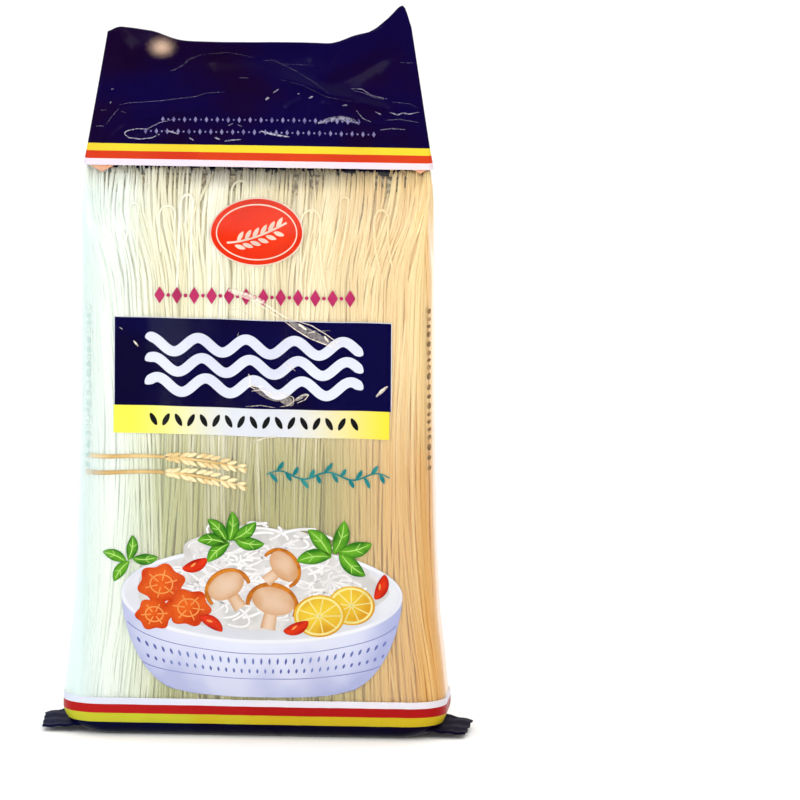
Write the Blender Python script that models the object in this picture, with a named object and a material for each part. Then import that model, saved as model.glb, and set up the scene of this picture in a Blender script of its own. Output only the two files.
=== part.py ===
"""A sealed clear bag of dried rice vermicelli, standing on its folded base.

The bag is one closed solid: a block of noodles that fills it up to the shoulders, a flat
printed header above them, a folded base with a flap that sticks out past each side, and
the noodles that press through the film, fused on at their true thickness.
Metres, +Z up, +X to the right of someone who faces the front, which looks along -Y.
The origin is on the floor, under the middle of the bag.
"""

import math
import random

import bmesh
import bpy
from mathutils import Matrix, Vector

# Driving dimensions of the bag
BLOCK_DEPTH = 0.051
BASE_HALF_WIDTH = 0.0804
WAIST_HALF_WIDTH = 0.0750
SHOULDER_HALF_WIDTH = 0.0750
HEADER_FOOT_HALF_WIDTH = 0.0744
HEADER_TOP_HALF_WIDTH = 0.0644
SHOULDER_Z = 0.214
HEADER_FOOT_Z = 0.2395
HEADER_TOP_Z = 0.2930
FILM_FOLD_THICKNESS = 0.0030
TOP_EDGE_THICKNESS = 0.0018

# The header's top edge, as lifts above HEADER_TOP_Z at places across the width
TOP_EDGE_LIFTS = (
    (-0.0644, 0.0040),
    (-0.0588, 0.0062),
    (-0.0460, 0.0051),
    (-0.0300, 0.0008),
    (0.0000, 0.0000),
    (0.0290, 0.0000),
    (0.0400, 0.0038),
    (0.0500, 0.0070),
    (0.0555, 0.0130),
    (0.0606, 0.0174),
    (0.0644, 0.0080),
)

# Cross-sections of the block: height, half width, share of the half depth, corner radius as a
# share of the depth there, and how far the gusset tucks in
HALF_DEPTH = BLOCK_DEPTH / 2
HEADER_FOOT_HALF_DEPTH = 0.0036
BODY_SECTIONS = (
    (0.0000, 0.0685, 0.64, 0.55, 0.0000),
    (0.0016, 0.0736, 0.80, 0.58, 0.0000),
    (0.0050, 0.0790, 0.915, 0.60, 0.0000),
    (0.0110, 0.0813, 0.975, 0.60, 0.0000),
    (0.0240, BASE_HALF_WIDTH, 1.00, 0.60, 0.0000),
    (0.0560, 0.0771, 1.01, 0.60, 0.0000),
    (0.1150, WAIST_HALF_WIDTH, 1.02, 0.60, 0.0000),
    (0.1950, 0.0744, 0.99, 0.58, 0.0000),
    (SHOULDER_Z, SHOULDER_HALF_WIDTH, 0.92, 0.44, 0.0030),
    (0.2250, 0.0755, 0.70, 0.34, 0.0075),
    (0.2330, 0.0752, 0.39, 0.36, 0.0070),
    (HEADER_FOOT_Z, HEADER_FOOT_HALF_WIDTH, HEADER_FOOT_HALF_DEPTH / HALF_DEPTH, 0.72, 0.0020),
)
BODY_ROW_HEIGHTS = (
    0.0000, 0.0016, 0.0050, 0.0110, 0.0240, 0.0560, 0.0900, 0.1240, 0.1580,
    0.1880, SHOULDER_Z, 0.2200, 0.2262, 0.2330, HEADER_FOOT_Z,
)
HEADER_ROWS = 11
FRONT_COLUMNS = 38
CORNER_STEPS = 3
SIDE_STEPS = 2

# Creases pressed into the header: start x, start z, end x, end z, height, half breadth
HEADER_CREASES = (
    (0.005, 0.280, 0.064, 0.262, 0.0020, 0.0030),
    (-0.058, 0.262, -0.012, 0.268, 0.0014, 0.0030),
    (-0.060, 0.287, -0.030, 0.294, 0.0026, 0.0070),
    (-0.055, 0.252, -0.020, 0.258, 0.0012, 0.0025),
    (0.022, 0.270, 0.060, 0.292, -0.0016, 0.0035),
    (0.000, 0.258, 0.055, 0.254, 0.0011, 0.0024),
    (-0.030, 0.284, 0.030, 0.288, -0.0018, 0.0050),
)
HEADER_LEAN = 0.0040
HEADER_SWAY = 0.0030
HEADER_WAVES = 1.2
HEADER_WAVE_START = 0.7
CREASE_FADE_SHARE = 0.25
FACE_SWELL = 0.0012
FACE_RIPPLE = 0.0006
SLOW_RIPPLE = 0.0115
QUICK_RIPPLE = 0.0047
SWELL_RISE = 0.03
SWELL_FALL = 0.02

# The flap of the folded base that sticks out past each side
EAR_REACH = 0.0110
EAR_ROOT_INSET = 0.0150
EAR_THICKNESS = 0.0020
EAR_TIP_THICKNESS = 0.0014
EAR_STEPS = 5
EAR_REAR_EDGE = ((0.006, 0.0084), (0.009, 0.0032))
EAR_FRONT_EDGE = ((-0.019, 0.0046), (-0.018, 0.0020))
EAR_MIDDLE_SAG = 0.0011
EAR_FRONT_SHORTER = 0.0015

# The noodles that show through the film
NOODLE_DIAMETER = 0.0012
NOODLE_SIDES = 4
NOODLE_SEGMENTS = 10
NOODLE_FOOT_Z = 0.0080
NOODLE_TOP_Z = (0.2180, 0.2255)
NOODLE_TOP_SINK = 0.08
NOODLE_FOOT_SINK = 0.06
NOODLE_SHARE_IN = 0.05
NOODLE_PROUD = 0.0004
FRONT_NOODLES = 34
BACK_NOODLES = 22
SIDE_NOODLES = 4
SIDE_NOODLE_SPAN = (0.020, 0.206)
SIDE_NOODLE_SPREAD = 0.022
FACE_EDGE_INSET = 0.008
NOODLE_UNEVENNESS = 0.25
NOODLE_LEAN = 0.003
NOODLE_WANDER = 0.0011
SEED = 7

BAG_COLOUR = (0.86, 0.80, 0.66, 1.0)
BAG_ROUGHNESS = 0.25


def ease(t):
    """Smooth step from 0 to 1."""
    t = min(1.0, max(0.0, t))
    return t * t * (3 - 2 * t)


def between(stations, x):
    """The values that the stations, sorted by their first number, have at x."""
    if x <= stations[0][0]:
        return stations[0][1:]
    for low, high in zip(stations, stations[1:]):
        if x <= high[0]:
            share = (x - low[0]) / (high[0] - low[0])
            return tuple(a + (b - a) * share for a, b in zip(low[1:], high[1:]))
    return stations[-1][1:]


def header_share(z, x):
    """How far z is up the header at x: 0 at its foot and 1 at its top edge."""
    top = HEADER_TOP_Z + between(TOP_EDGE_LIFTS, x)[0]
    return (z - HEADER_FOOT_Z) / (top - HEADER_FOOT_Z)


def crease(x, z, line):
    """The height at (x, z) of a soft ridge that fades out at both ends of a line."""
    x0, z0, x1, z1, height, breadth = line
    dx, dz = x1 - x0, z1 - z0
    length = math.hypot(dx, dz)
    along = ((x - x0) * dx + (z - z0) * dz) / length
    across = ((z - z0) * dx - (x - x0) * dz) / length
    fading = CREASE_FADE_SHARE * length
    fade = ease(along / fading) * ease((length - along) / fading)
    return height * fade * math.exp(-((across / breadth) ** 2))


def header_sway(x, z):
    """How far the header's middle surface leans out of the bag's middle plane."""
    share = ease(header_share(z, x))
    wave = math.sin(HEADER_WAVES * math.pi * x / HEADER_TOP_HALF_WIDTH + HEADER_WAVE_START)
    folds = sum(crease(x, z, line) for line in HEADER_CREASES)
    return share * (HEADER_LEAN + HEADER_SWAY * wave - folds)


def face_ripple(x, z):
    """The soft unevenness of the block's front and back faces."""
    slow = math.sin(x / SLOW_RIPPLE + 1.3 * math.sin(0.2 * z / SLOW_RIPPLE))
    quick = math.sin(x / QUICK_RIPPLE + 2.0 + 0.9 * math.sin(0.1 * z / QUICK_RIPPLE + 1.0))
    return FACE_RIPPLE * (slow + 0.6 * quick)


def section_at(z):
    """The block's half width, half depth, corner radius and gusset tuck at a height."""
    half_width, depth_share, corner_share, tuck = between(BODY_SECTIONS, z)
    half_depth = depth_share * HALF_DEPTH
    return half_width, half_depth, corner_share * half_depth, tuck


def section_point(column, a, b, r, tuck):
    """A point of the rounded rectangle, by column: front, corner, side, corner, back, and round."""
    flat = a - r
    steps = FRONT_COLUMNS + 2 * CORNER_STEPS + SIDE_STEPS
    back = column >= steps
    k = column - steps if back else column
    if k < FRONT_COLUMNS:
        x = -flat + 2 * flat * k / FRONT_COLUMNS
        y = -b
    elif k < FRONT_COLUMNS + CORNER_STEPS:
        turn = 0.5 * math.pi * (k - FRONT_COLUMNS) / CORNER_STEPS
        x = flat + r * math.sin(turn)
        y = -(b - r) - r * math.cos(turn)
    elif k < FRONT_COLUMNS + CORNER_STEPS + SIDE_STEPS:
        x = a
        y = (b - r) * (2 * (k - FRONT_COLUMNS - CORNER_STEPS) / SIDE_STEPS - 1)
    else:
        turn = 0.5 * math.pi * (k - FRONT_COLUMNS - CORNER_STEPS - SIDE_STEPS) / CORNER_STEPS
        x = flat + r * math.cos(turn)
        y = (b - r) + r * math.sin(turn)
    if back:
        x, y = -x, -y
    inward = tuck * (1 - min(1.0, abs(y) / b)) * ease((abs(x) - flat) / r)
    return x - math.copysign(inward, x), y


def face_relief(x, z, half_width):
    """How far a broad face of the block swells and ripples out of its plain section."""
    fullness = ease(z / SWELL_RISE) * ease((HEADER_FOOT_Z - z) / SWELL_FALL)
    return fullness * (FACE_SWELL * (1 - (x / half_width) ** 2) + face_ripple(x, z))


def body_point(column, z):
    """A point of the bag's skin at or below the header's foot."""
    a, b, r, tuck = section_at(z)
    x, y = section_point(column, a, b, r, tuck)
    relief = face_relief(x, z, a) * ease((abs(y) - (b - r)) / r)
    return Vector((x, y + math.copysign(relief, y), z))


def header_point(column, row):
    """A point of the header's skin, from row 1 above its foot to HEADER_ROWS at its top edge."""
    t = row / HEADER_ROWS
    a = HEADER_FOOT_HALF_WIDTH + (HEADER_TOP_HALF_WIDTH - HEADER_FOOT_HALF_WIDTH) * t
    half_fold, half_edge = FILM_FOLD_THICKNESS / 2, TOP_EDGE_THICKNESS / 2
    b = half_fold + (half_edge - half_fold) * ease(t)
    b += (HEADER_FOOT_HALF_DEPTH - half_fold) * (1 - ease(4 * t))
    x, y = section_point(column, a, b, 0.8 * b, 0.0)
    top = HEADER_TOP_Z + between(TOP_EDGE_LIFTS, x)[0]
    z = HEADER_FOOT_Z + (top - HEADER_FOOT_Z) * t
    return Vector((x, y + header_sway(x, z), z))


def bag_skin():
    """The bag's core as a closed mesh: rows of the body, rows of the header, a flat base and a shut top."""
    columns = 2 * (FRONT_COLUMNS + 2 * CORNER_STEPS + SIDE_STEPS)
    bm = bmesh.new()
    rows = [[bm.verts.new(body_point(c, z)) for c in range(columns)] for z in BODY_ROW_HEIGHTS]
    for row in range(1, HEADER_ROWS + 1):
        rows.append([bm.verts.new(header_point(c, row)) for c in range(columns)])
    for low, high in zip(rows, rows[1:]):
        for c in range(columns):
            d = (c + 1) % columns
            bm.faces.new((low[c], low[d], high[d], high[c]))
    bm.faces.new(reversed(rows[0]))
    shut_top(bm, rows[-1])
    bmesh.ops.recalc_face_normals(bm, faces=bm.faces)
    return bm


def shut_top(bm, ring):
    """Closes the top edge with a strip from the front's columns to the back's."""
    half = len(ring) // 2
    ends = CORNER_STEPS + SIDE_STEPS // 2
    front = [ring[(k - ends) % len(ring)] for k in range(half + 1)]
    back = [ring[(-k - ends) % len(ring)] for k in range(half + 1)]
    bm.faces.new((front[0], front[1], back[1]))
    for k in range(1, half - 1):
        bm.faces.new((front[k], front[k + 1], back[k + 1], back[k]))
    bm.faces.new((front[half - 1], front[half], back[half - 1]))


def ear_mesh(side):
    """A base flap on one side of the bag: a bent sheet, from its root in the block down to its tip."""
    bm = bmesh.new()
    rings = []
    for k in range(EAR_STEPS + 1):
        t = k / EAR_STEPS
        x = BASE_HALF_WIDTH - EAR_ROOT_INSET + (EAR_ROOT_INSET + EAR_REACH) * t
        rear_y, rear_z = (a + (b - a) * t for a, b in zip(*EAR_REAR_EDGE))
        front_y, front_z = (a + (b - a) * t for a, b in zip(*EAR_FRONT_EDGE))
        rear = Vector((side * x, rear_y, rear_z))
        front = Vector((side * (x - EAR_FRONT_SHORTER * t), front_y, front_z))
        middle = (rear + front) / 2 - Vector((0, 0, EAR_MIDDLE_SAG * (1 - t)))
        half = Vector((0, 0, (EAR_THICKNESS + (EAR_TIP_THICKNESS - EAR_THICKNESS) * t) / 2))
        ring = (rear + half, middle + half, front + half, front - half, middle - half, rear - half)
        rings.append([bm.verts.new(p) for p in ring])
    close_tube(bm, rings)
    return bm


def close_tube(bm, rings):
    """Joins rings of points into a tube with shut ends."""
    sides = len(rings[0])
    for near, far in zip(rings, rings[1:]):
        for k in range(sides):
            j = (k + 1) % sides
            bm.faces.new((near[k], near[j], far[j], far[k]))
    bm.faces.new(rings[0])
    bm.faces.new(rings[-1])
    bmesh.ops.recalc_face_normals(bm, faces=bm.faces)


def face_y(x, z):
    """How far the skin of a broad face stands from the middle plane, straight between its rows."""
    above = next(k for k, height in enumerate(BODY_ROW_HEIGHTS) if height >= z)
    low, high = BODY_ROW_HEIGHTS[above - 1], BODY_ROW_HEIGHTS[above]
    ends = []
    for height in (low, high):
        a, b, r, _ = section_at(height)
        edge = min(r, max(0.0, abs(x) - (a - r)))
        ends.append(b - r + math.sqrt(r * r - edge * edge) + face_relief(x, height, a))
    return ends[0] + (ends[1] - ends[0]) * (z - low) / (high - low)


def noodle_path(x, lean, phase, top_z):
    """A noodle's line up the front face, from its cut foot to where it bends in under the shoulder."""
    points = []
    for k in range(NOODLE_SEGMENTS + 1):
        t = k / NOODLE_SEGMENTS
        z = NOODLE_FOOT_Z + (top_z - NOODLE_FOOT_Z) * t
        drift = lean * (t - 0.4) + NOODLE_WANDER * math.sin(5.0 * t + phase)
        across = x + drift - x * NOODLE_SHARE_IN * ease((t - 0.8) / 0.2)
        top_sunk = ease((t - 1 + NOODLE_TOP_SINK) / NOODLE_TOP_SINK)
        foot_sunk = ease((NOODLE_FOOT_SINK - t) / NOODLE_FOOT_SINK)
        inset = NOODLE_DIAMETER * (0.5 + top_sunk + foot_sunk) - NOODLE_PROUD
        points.append(Vector((across, inset - face_y(across, z), z)))
    return points


def tube_mesh(points, out):
    """A closed noodle of few sides along points, turned so that an edge faces out."""
    bm = bmesh.new()
    rings = []
    for k, point in enumerate(points):
        ahead = (points[min(k + 1, len(points) - 1)] - points[max(k - 1, 0)]).normalized()
        sidewards = ahead.cross(out).normalized()
        outwards = sidewards.cross(ahead)
        turns = [2 * math.pi * s / NOODLE_SIDES for s in range(NOODLE_SIDES)]
        offsets = [math.cos(turn) * outwards + math.sin(turn) * sidewards for turn in turns]
        rings.append([bm.verts.new(point + offset * NOODLE_DIAMETER / 2) for offset in offsets])
    close_tube(bm, rings)
    return bm


def object_from(bm, name, collection):
    """Turns a bmesh into an object in a collection."""
    mesh = bpy.data.meshes.new(name)
    bm.to_mesh(mesh)
    bm.free()
    made = bpy.data.objects.new(name, mesh)
    collection.objects.link(made)
    return made


def add_noodles(collection):
    """The noodles that press through the film: on the front, on the back and down both sides."""
    rng = random.Random(SEED)
    usable = 2 * (SHOULDER_HALF_WIDTH - FACE_EDGE_INSET)
    for name, count, turn in (("front", FRONT_NOODLES, 1), ("back", BACK_NOODLES, -1)):
        for k in range(count):
            x = usable * ((k + 0.5 + rng.uniform(-NOODLE_UNEVENNESS, NOODLE_UNEVENNESS)) / count - 0.5)
            lean, phase = rng.uniform(-NOODLE_LEAN, NOODLE_LEAN), rng.uniform(0, 2 * math.pi)
            path = noodle_path(x, lean, phase, rng.uniform(*NOODLE_TOP_Z))
            path = [Vector((turn * p.x, turn * p.y, p.z)) for p in path]
            object_from(tube_mesh(path, Vector((0, -turn, 0))), f"noodle_{name}_{k}", collection)
    for side in (-1, 1):
        for k in range(SIDE_NOODLES):
            shift = rng.uniform(-NOODLE_UNEVENNESS, NOODLE_UNEVENNESS)
            y = SIDE_NOODLE_SPREAD * ((k + 0.5 + shift) / SIDE_NOODLES - 0.5)
            path = side_noodle_path(side, y, k)
            object_from(tube_mesh(path, Vector((side, 0, 0))), f"noodle_side_{side}_{k}", collection)


def side_noodle_path(side, y, phase):
    """A noodle's line up one narrow side of the bag, sunk at both ends."""
    low, high = SIDE_NOODLE_SPAN
    points = []
    for step in range(NOODLE_SEGMENTS + 1):
        t = step / NOODLE_SEGMENTS
        z = low + (high - low) * t
        sunk = NOODLE_DIAMETER * (ease((t - 0.9) / 0.1) + ease((0.1 - t) / 0.1))
        out = section_at(z)[0] - NOODLE_DIAMETER / 2 + NOODLE_PROUD - sunk
        points.append(Vector((side * out, y + NOODLE_WANDER * math.sin(4 * t + phase), z)))
    return points


def fuse(core, collection):
    """Joins the collection's objects to the core by one Boolean union, then removes them."""
    union = core.modifiers.new("fuse", "BOOLEAN")
    union.operation = "UNION"
    union.solver = "MANIFOLD"
    union.operand_type = "COLLECTION"
    union.collection = collection
    graph = bpy.context.evaluated_depsgraph_get()
    fused = bpy.data.meshes.new_from_object(core.evaluated_get(graph))
    core.modifiers.clear()
    core.data = fused
    for piece in list(collection.objects):
        bpy.data.objects.remove(piece)
    bpy.data.collections.remove(collection)


def centre(bag):
    """Moves the mesh so that the middle of its footprint is at the origin and its base on the floor."""
    low = [min(v.co[k] for v in bag.data.vertices) for k in range(3)]
    high = [max(v.co[k] for v in bag.data.vertices) for k in range(3)]
    shift = Vector((-(low[0] + high[0]) / 2, -(low[1] + high[1]) / 2, -low[2]))
    bag.data.transform(Matrix.Translation(shift))


def bag_material():
    """Cream noodles under clear film, as one even finish."""
    material = bpy.data.materials.new("noodles_in_film")
    material.use_nodes = True
    shader = material.node_tree.nodes["Principled BSDF"]
    shader.inputs["Base Color"].default_value = BAG_COLOUR
    shader.inputs["Roughness"].default_value = BAG_ROUGHNESS
    shader.inputs["Metallic"].default_value = 0.0
    return material


def main():
    for old in list(bpy.data.objects):
        bpy.data.objects.remove(old)
    scene = bpy.context.scene.collection
    extras = bpy.data.collections.new("fused_on")
    scene.children.link(extras)
    bag = object_from(bag_skin(), "noodle_pack", scene)
    for side in (-1, 1):
        object_from(ear_mesh(side), f"ear_{side}", extras)
    add_noodles(extras)
    fuse(bag, extras)
    centre(bag)
    bag.data.materials.clear()
    bag.data.materials.append(bag_material())


main()
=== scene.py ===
"""The looks of a sealed clear bag of dried rice vermicelli that stands on its folded base.

The clear window, the printed header and the printed base are sheets over the solid's own shape.
Behind the window lie the print's fields and simple shapes, two milky veils of haze and painted
glare, and then the noodles round an opaque core. The header's marks and the painted highlights and
reflections of sharp creases lie on the film. Metres, +Z up, the front looks along -Y.
"""

import math

import bpy
import numpy as np
from mathutils import Matrix, Vector, noise


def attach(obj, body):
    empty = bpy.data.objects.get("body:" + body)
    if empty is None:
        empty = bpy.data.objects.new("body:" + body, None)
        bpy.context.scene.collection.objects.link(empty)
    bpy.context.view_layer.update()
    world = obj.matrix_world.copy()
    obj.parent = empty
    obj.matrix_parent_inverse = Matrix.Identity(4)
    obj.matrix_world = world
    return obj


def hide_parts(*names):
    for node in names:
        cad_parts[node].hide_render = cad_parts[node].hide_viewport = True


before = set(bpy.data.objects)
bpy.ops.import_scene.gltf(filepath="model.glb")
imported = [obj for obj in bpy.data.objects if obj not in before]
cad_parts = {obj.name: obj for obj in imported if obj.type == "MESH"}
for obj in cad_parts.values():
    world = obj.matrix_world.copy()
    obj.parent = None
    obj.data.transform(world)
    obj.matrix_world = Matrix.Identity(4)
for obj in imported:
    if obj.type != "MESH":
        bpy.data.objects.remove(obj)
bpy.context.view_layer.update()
NODE = "noodle_pack"
BODY = "root"

# The solid's driving dimensions
HALF_DEPTH = 0.0255
BASE_HALF_WIDTH = 0.0804
SHOULDER_Z = 0.214
HEADER_FOOT_Z = 0.2395
HEADER_TOP_Z = 0.2930
HEADER_FOOT_HALF_WIDTH = 0.0744
HEADER_TOP_HALF_WIDTH = 0.0644
HEADER_FOOT_HALF_DEPTH = 0.0036
HEADER_HALF_FOLD = 0.0013
HEADER_HALF_EDGE = 0.0006
HEADER_LEAN = 0.0040
HEADER_SWAY = 0.0030
HEADER_WAVES = 1.2
HEADER_WAVE_START = 0.7
CREASE_FADE_SHARE = 0.25
FACE_SWELL = 0.0012
FACE_RIPPLE = 0.0006
SLOW_RIPPLE = 0.0115
QUICK_RIPPLE = 0.0047
SWELL_RISE = 0.03
SWELL_FALL = 0.02

# Cross-sections: height, half width, share of the half depth, corner radius as a share of the
# depth there, and how far the gusset tucks in
SECTIONS = (
    (0.0000, 0.0685, 0.64, 0.55, 0.0000),
    (0.0016, 0.0736, 0.80, 0.58, 0.0000),
    (0.0050, 0.0790, 0.915, 0.60, 0.0000),
    (0.0110, 0.0813, 0.975, 0.60, 0.0000),
    (0.0240, BASE_HALF_WIDTH, 1.00, 0.60, 0.0000),
    (0.0560, 0.0771, 1.01, 0.60, 0.0000),
    (0.1150, 0.0750, 1.02, 0.60, 0.0000),
    (0.1950, 0.0744, 0.99, 0.58, 0.0000),
    (SHOULDER_Z, 0.0750, 0.92, 0.44, 0.0030),
    (0.2250, 0.0755, 0.70, 0.34, 0.0075),
    (0.2330, 0.0752, 0.39, 0.36, 0.0070),
    (HEADER_FOOT_Z, HEADER_FOOT_HALF_WIDTH, HEADER_FOOT_HALF_DEPTH / HALF_DEPTH, 0.72, 0.0020),
)
TOP_EDGE_LIFTS = (
    (-0.0644, 0.0040),
    (-0.0588, 0.0062),
    (-0.0460, 0.0051),
    (-0.0300, 0.0008),
    (0.0000, 0.0000),
    (0.0290, 0.0000),
    (0.0400, 0.0038),
    (0.0500, 0.0070),
    (0.0555, 0.0130),
    (0.0606, 0.0174),
    (0.0644, 0.0080),
)

# Heights where the print changes colour, from the base up
BASE_NAVY_TOP = 0.0059
BASE_YELLOW_TOP = 0.0100
BASE_RED_TOP = 0.0139
BASE_WHITE_TOP = 0.0168
WINDOW_TOP = 0.2412
TOP_WHITE_TOP = 0.2439
TOP_RED_TOP = 0.2471
TOP_YELLOW_TOP = 0.2501

# How far sheets and noodles lie from the plain skin
FILM_LIFT = 0.00012
INK_DEPTH = 0.00012
INK_STEP = 0.00002
PROUD_LIFT = 0.00008
SLICE_LIFT = 0.000012
SIDE_MARK_LIFT = 0.00022
NOODLE_DEPTH = 0.00088
NOODLE_RADIUS = 0.00060

# Wide folds in the header: start x, start z, end x, end z, height, half breadth
HEADER_FOLDS = (
    (0.005, 0.280, 0.064, 0.262, 0.0020, 0.0030),
    (-0.058, 0.262, -0.012, 0.268, 0.0014, 0.0030),
    (-0.060, 0.287, -0.030, 0.294, 0.0026, 0.0070),
    (-0.055, 0.252, -0.020, 0.258, 0.0012, 0.0025),
    (0.022, 0.270, 0.060, 0.292, -0.0016, 0.0035),
    (0.000, 0.258, 0.055, 0.254, 0.0011, 0.0024),
    (-0.030, 0.284, 0.030, 0.288, -0.0018, 0.0050),
)

# Narrow creases in the film of the front: start x, start z, end x, end z, height, half breadth.
# The last number is the sharpness of the sides: 2 for a ridge, 6 for a flat-topped pucker.
FRONT_CREASES = (
    (-0.0050, 0.1955, 0.0210, 0.1800, 0.00055, 0.0016, 6),
    (0.0190, 0.1815, 0.0420, 0.1660, 0.00060, 0.0020, 6),
    (-0.0010, 0.1600, 0.0060, 0.1530, 0.00045, 0.0011, 6),
    (0.0020, 0.1520, 0.0180, 0.1470, 0.00050, 0.0014, 6),
    (0.0150, 0.1480, 0.0250, 0.1500, 0.00040, 0.0010, 2),
    (-0.0030, 0.1460, 0.0160, 0.1425, 0.00035, 0.0008, 2),
    (0.0535, 0.1500, 0.0605, 0.1560, 0.00045, 0.0010, 2),
    (0.0560, 0.1440, 0.0600, 0.1530, 0.00030, 0.0008, 2),
    (-0.0520, 0.1700, -0.0470, 0.1660, 0.00030, 0.0008, 2),
    (-0.0580, 0.1780, -0.0540, 0.1755, 0.00030, 0.0008, 2),
    (-0.0620, 0.2330, -0.0360, 0.2180, 0.00045, 0.0012, 2),
    (0.0500, 0.2330, 0.0640, 0.2140, 0.00045, 0.0012, 2),
    (-0.0700, 0.0400, -0.0560, 0.0200, 0.00050, 0.0014, 2),
    (0.0660, 0.0520, 0.0520, 0.0220, 0.00050, 0.0014, 2),
    (-0.0200, 0.0300, 0.0200, 0.0215, 0.00035, 0.0012, 2),
)
HEADER_CREASES = (
    (-0.0560, 0.2590, -0.0200, 0.2668, 0.00050, 0.0008, 2),
    (-0.0640, 0.2510, -0.0550, 0.2590, 0.00045, 0.0009, 2),
    (-0.0590, 0.2560, -0.0480, 0.2580, 0.00050, 0.0010, 2),
    (-0.0540, 0.2530, -0.0380, 0.2520, 0.00055, 0.0013, 6),
    (0.0060, 0.2800, 0.0400, 0.2690, 0.00060, 0.0010, 2),
    (0.0180, 0.2760, 0.0640, 0.2640, 0.00065, 0.0012, 2),
    (0.0400, 0.2690, 0.0560, 0.2670, 0.00060, 0.0014, 6),
    (0.0420, 0.2610, 0.0680, 0.2590, 0.00045, 0.0008, 2),
    (0.0380, 0.2560, 0.0660, 0.2550, 0.00045, 0.0008, 2),
    (0.0100, 0.2650, 0.0190, 0.2700, 0.00055, 0.0012, 6),
    (0.0260, 0.2690, 0.0320, 0.2660, 0.00045, 0.0010, 2),
    (0.0340, 0.2610, 0.0440, 0.2590, 0.00055, 0.0013, 6),
    (0.0080, 0.2550, 0.0160, 0.2570, 0.00035, 0.0009, 2),
    (-0.0240, 0.2540, -0.0120, 0.2570, 0.00035, 0.0009, 2),
    (-0.0300, 0.2810, 0.0040, 0.2830, 0.00050, 0.0026, 2),
)
CRUMPLE_HEADER = 0.00026
CRUMPLE_WINDOW = 0.00012
CRUMPLE_SIZE = 0.011

# Painted highlights where sharp creases catch the light, read off the photograph in its pixels: width,
# brightness and the line's points. The origins are where the pack's own origin falls, seen in each face's
# plane.
PHOTO_WIDTH = 800
HEADER_ORIGIN = (258.4, 728.5)
FRONT_ORIGIN = (253.6, 738.7)
HEADER_FADE = 2.1
FRONT_FADE = 1.0
HEADER_GLINTS = (
    (0.8, 0.30, (260, 66), (271.5, 65.4), (294.4, 75.8), (315, 87.2), (329, 97.6)),
    (0.7, 0.30, (277, 69), (295, 69.5), (312, 70)),
    (0.8, 0.30, (279.5, 83.8), (303.6, 89.5), (324.3, 99.9), (357.6, 104.5)),
    (0.9, 0.65, (349.5, 91.8), (361, 91.8), (370, 97.6), (386, 101)),
    (0.7, 0.50, (352, 93.5), (361, 95), (372, 99.5), (384, 101.5)),
    (2.6, 0.80, (264.5, 103.2), (268, 101)),
    (1.6, 0.60, (272, 96.5), (277.5, 93)),
    (1.5, 0.60, (296.3, 97.2), (298.5, 98)),
    (2.0, 0.70, (307.5, 101.8), (311.8, 99.6)),
    (1.5, 0.65, (341.5, 107.9), (347, 107.5)),
    (1.0, 0.60, (355.3, 112.5), (362, 120.5), (370, 123.4)),
    (5.0, 0.66, (317.4, 125.5), (329, 122), (340, 120.5), (352, 122.5), (358.7, 125.5)),
    (1.8, 0.75, (374.8, 113.6), (380.5, 116.5)),
    (1.5, 0.70, (388.6, 113.6), (396.6, 116.6), (402, 114.5), (408, 115.8), (418.4, 113.6)),
    (1.1, 0.40, (384, 121.7), (400, 121), (418, 124)),
    (1.4, 0.55, (379.4, 131.5), (392, 130), (404.6, 130.9)),
    (1.0, 0.35, (390.9, 103.9), (409.2, 105.6), (417.3, 110.2)),
    (0.9, 0.35, (398.9, 64.9), (412.7, 65.4)),
    (2.2, 0.85, (260, 133.2), (272, 136.5), (280.7, 137.8), (288.7, 138.9)),
    (2.0, 0.28, (170.7, 74), (181, 69.4), (189, 62.5), (200.5, 57.9)),
    (0.9, 0.28, (200.5, 57.9), (227, 56.7), (252, 62.5)),
    (1.2, 0.35, (238.4, 81.4), (247.6, 82)),
    (1.0, 0.36, (119, 107.8), (129.4, 105.5), (160.4, 103.2), (194.8, 99.2), (206.3, 95.8), (223.5, 95.2)),
    (1.0, 0.36, (106.4, 126.8), (113.3, 117.6), (119, 110.7)),
    (1.6, 0.55, (111, 92.6), (113.4, 92)),
    (1.6, 0.65, (109.4, 105.9), (111.6, 105)),
    (0.9, 0.35, (100.7, 113.3), (107.6, 112.6)),
    (0.9, 0.45, (96, 128.5), (104, 128.5)),
    (1.1, 0.45, (121, 113.6), (126, 115.4)),
    (1.2, 0.85, (150, 131.4), (138, 130.8), (127, 133), (124.5, 136), (129, 139.6), (140, 140.8),
     (152, 139.6), (160, 136)),
    (1.0, 0.60, (144, 132.5), (149, 130.2), (160.4, 124.5), (172, 122)),
    (1.7, 0.80, (165, 132.5), (172, 133.8), (178.7, 136)),
    (1.6, 0.80, (189, 139.4), (193.7, 142.4)),
    (1.6, 0.80, (214.3, 139.4), (220, 141.5)),
    (1.4, 0.75, (224.6, 143), (232, 142), (240.7, 141.5)),
    (1.2, 0.60, (228, 128), (232.7, 125.6)),
    (1.2, 0.60, (237.3, 126.8), (241.9, 129)),
)
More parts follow.
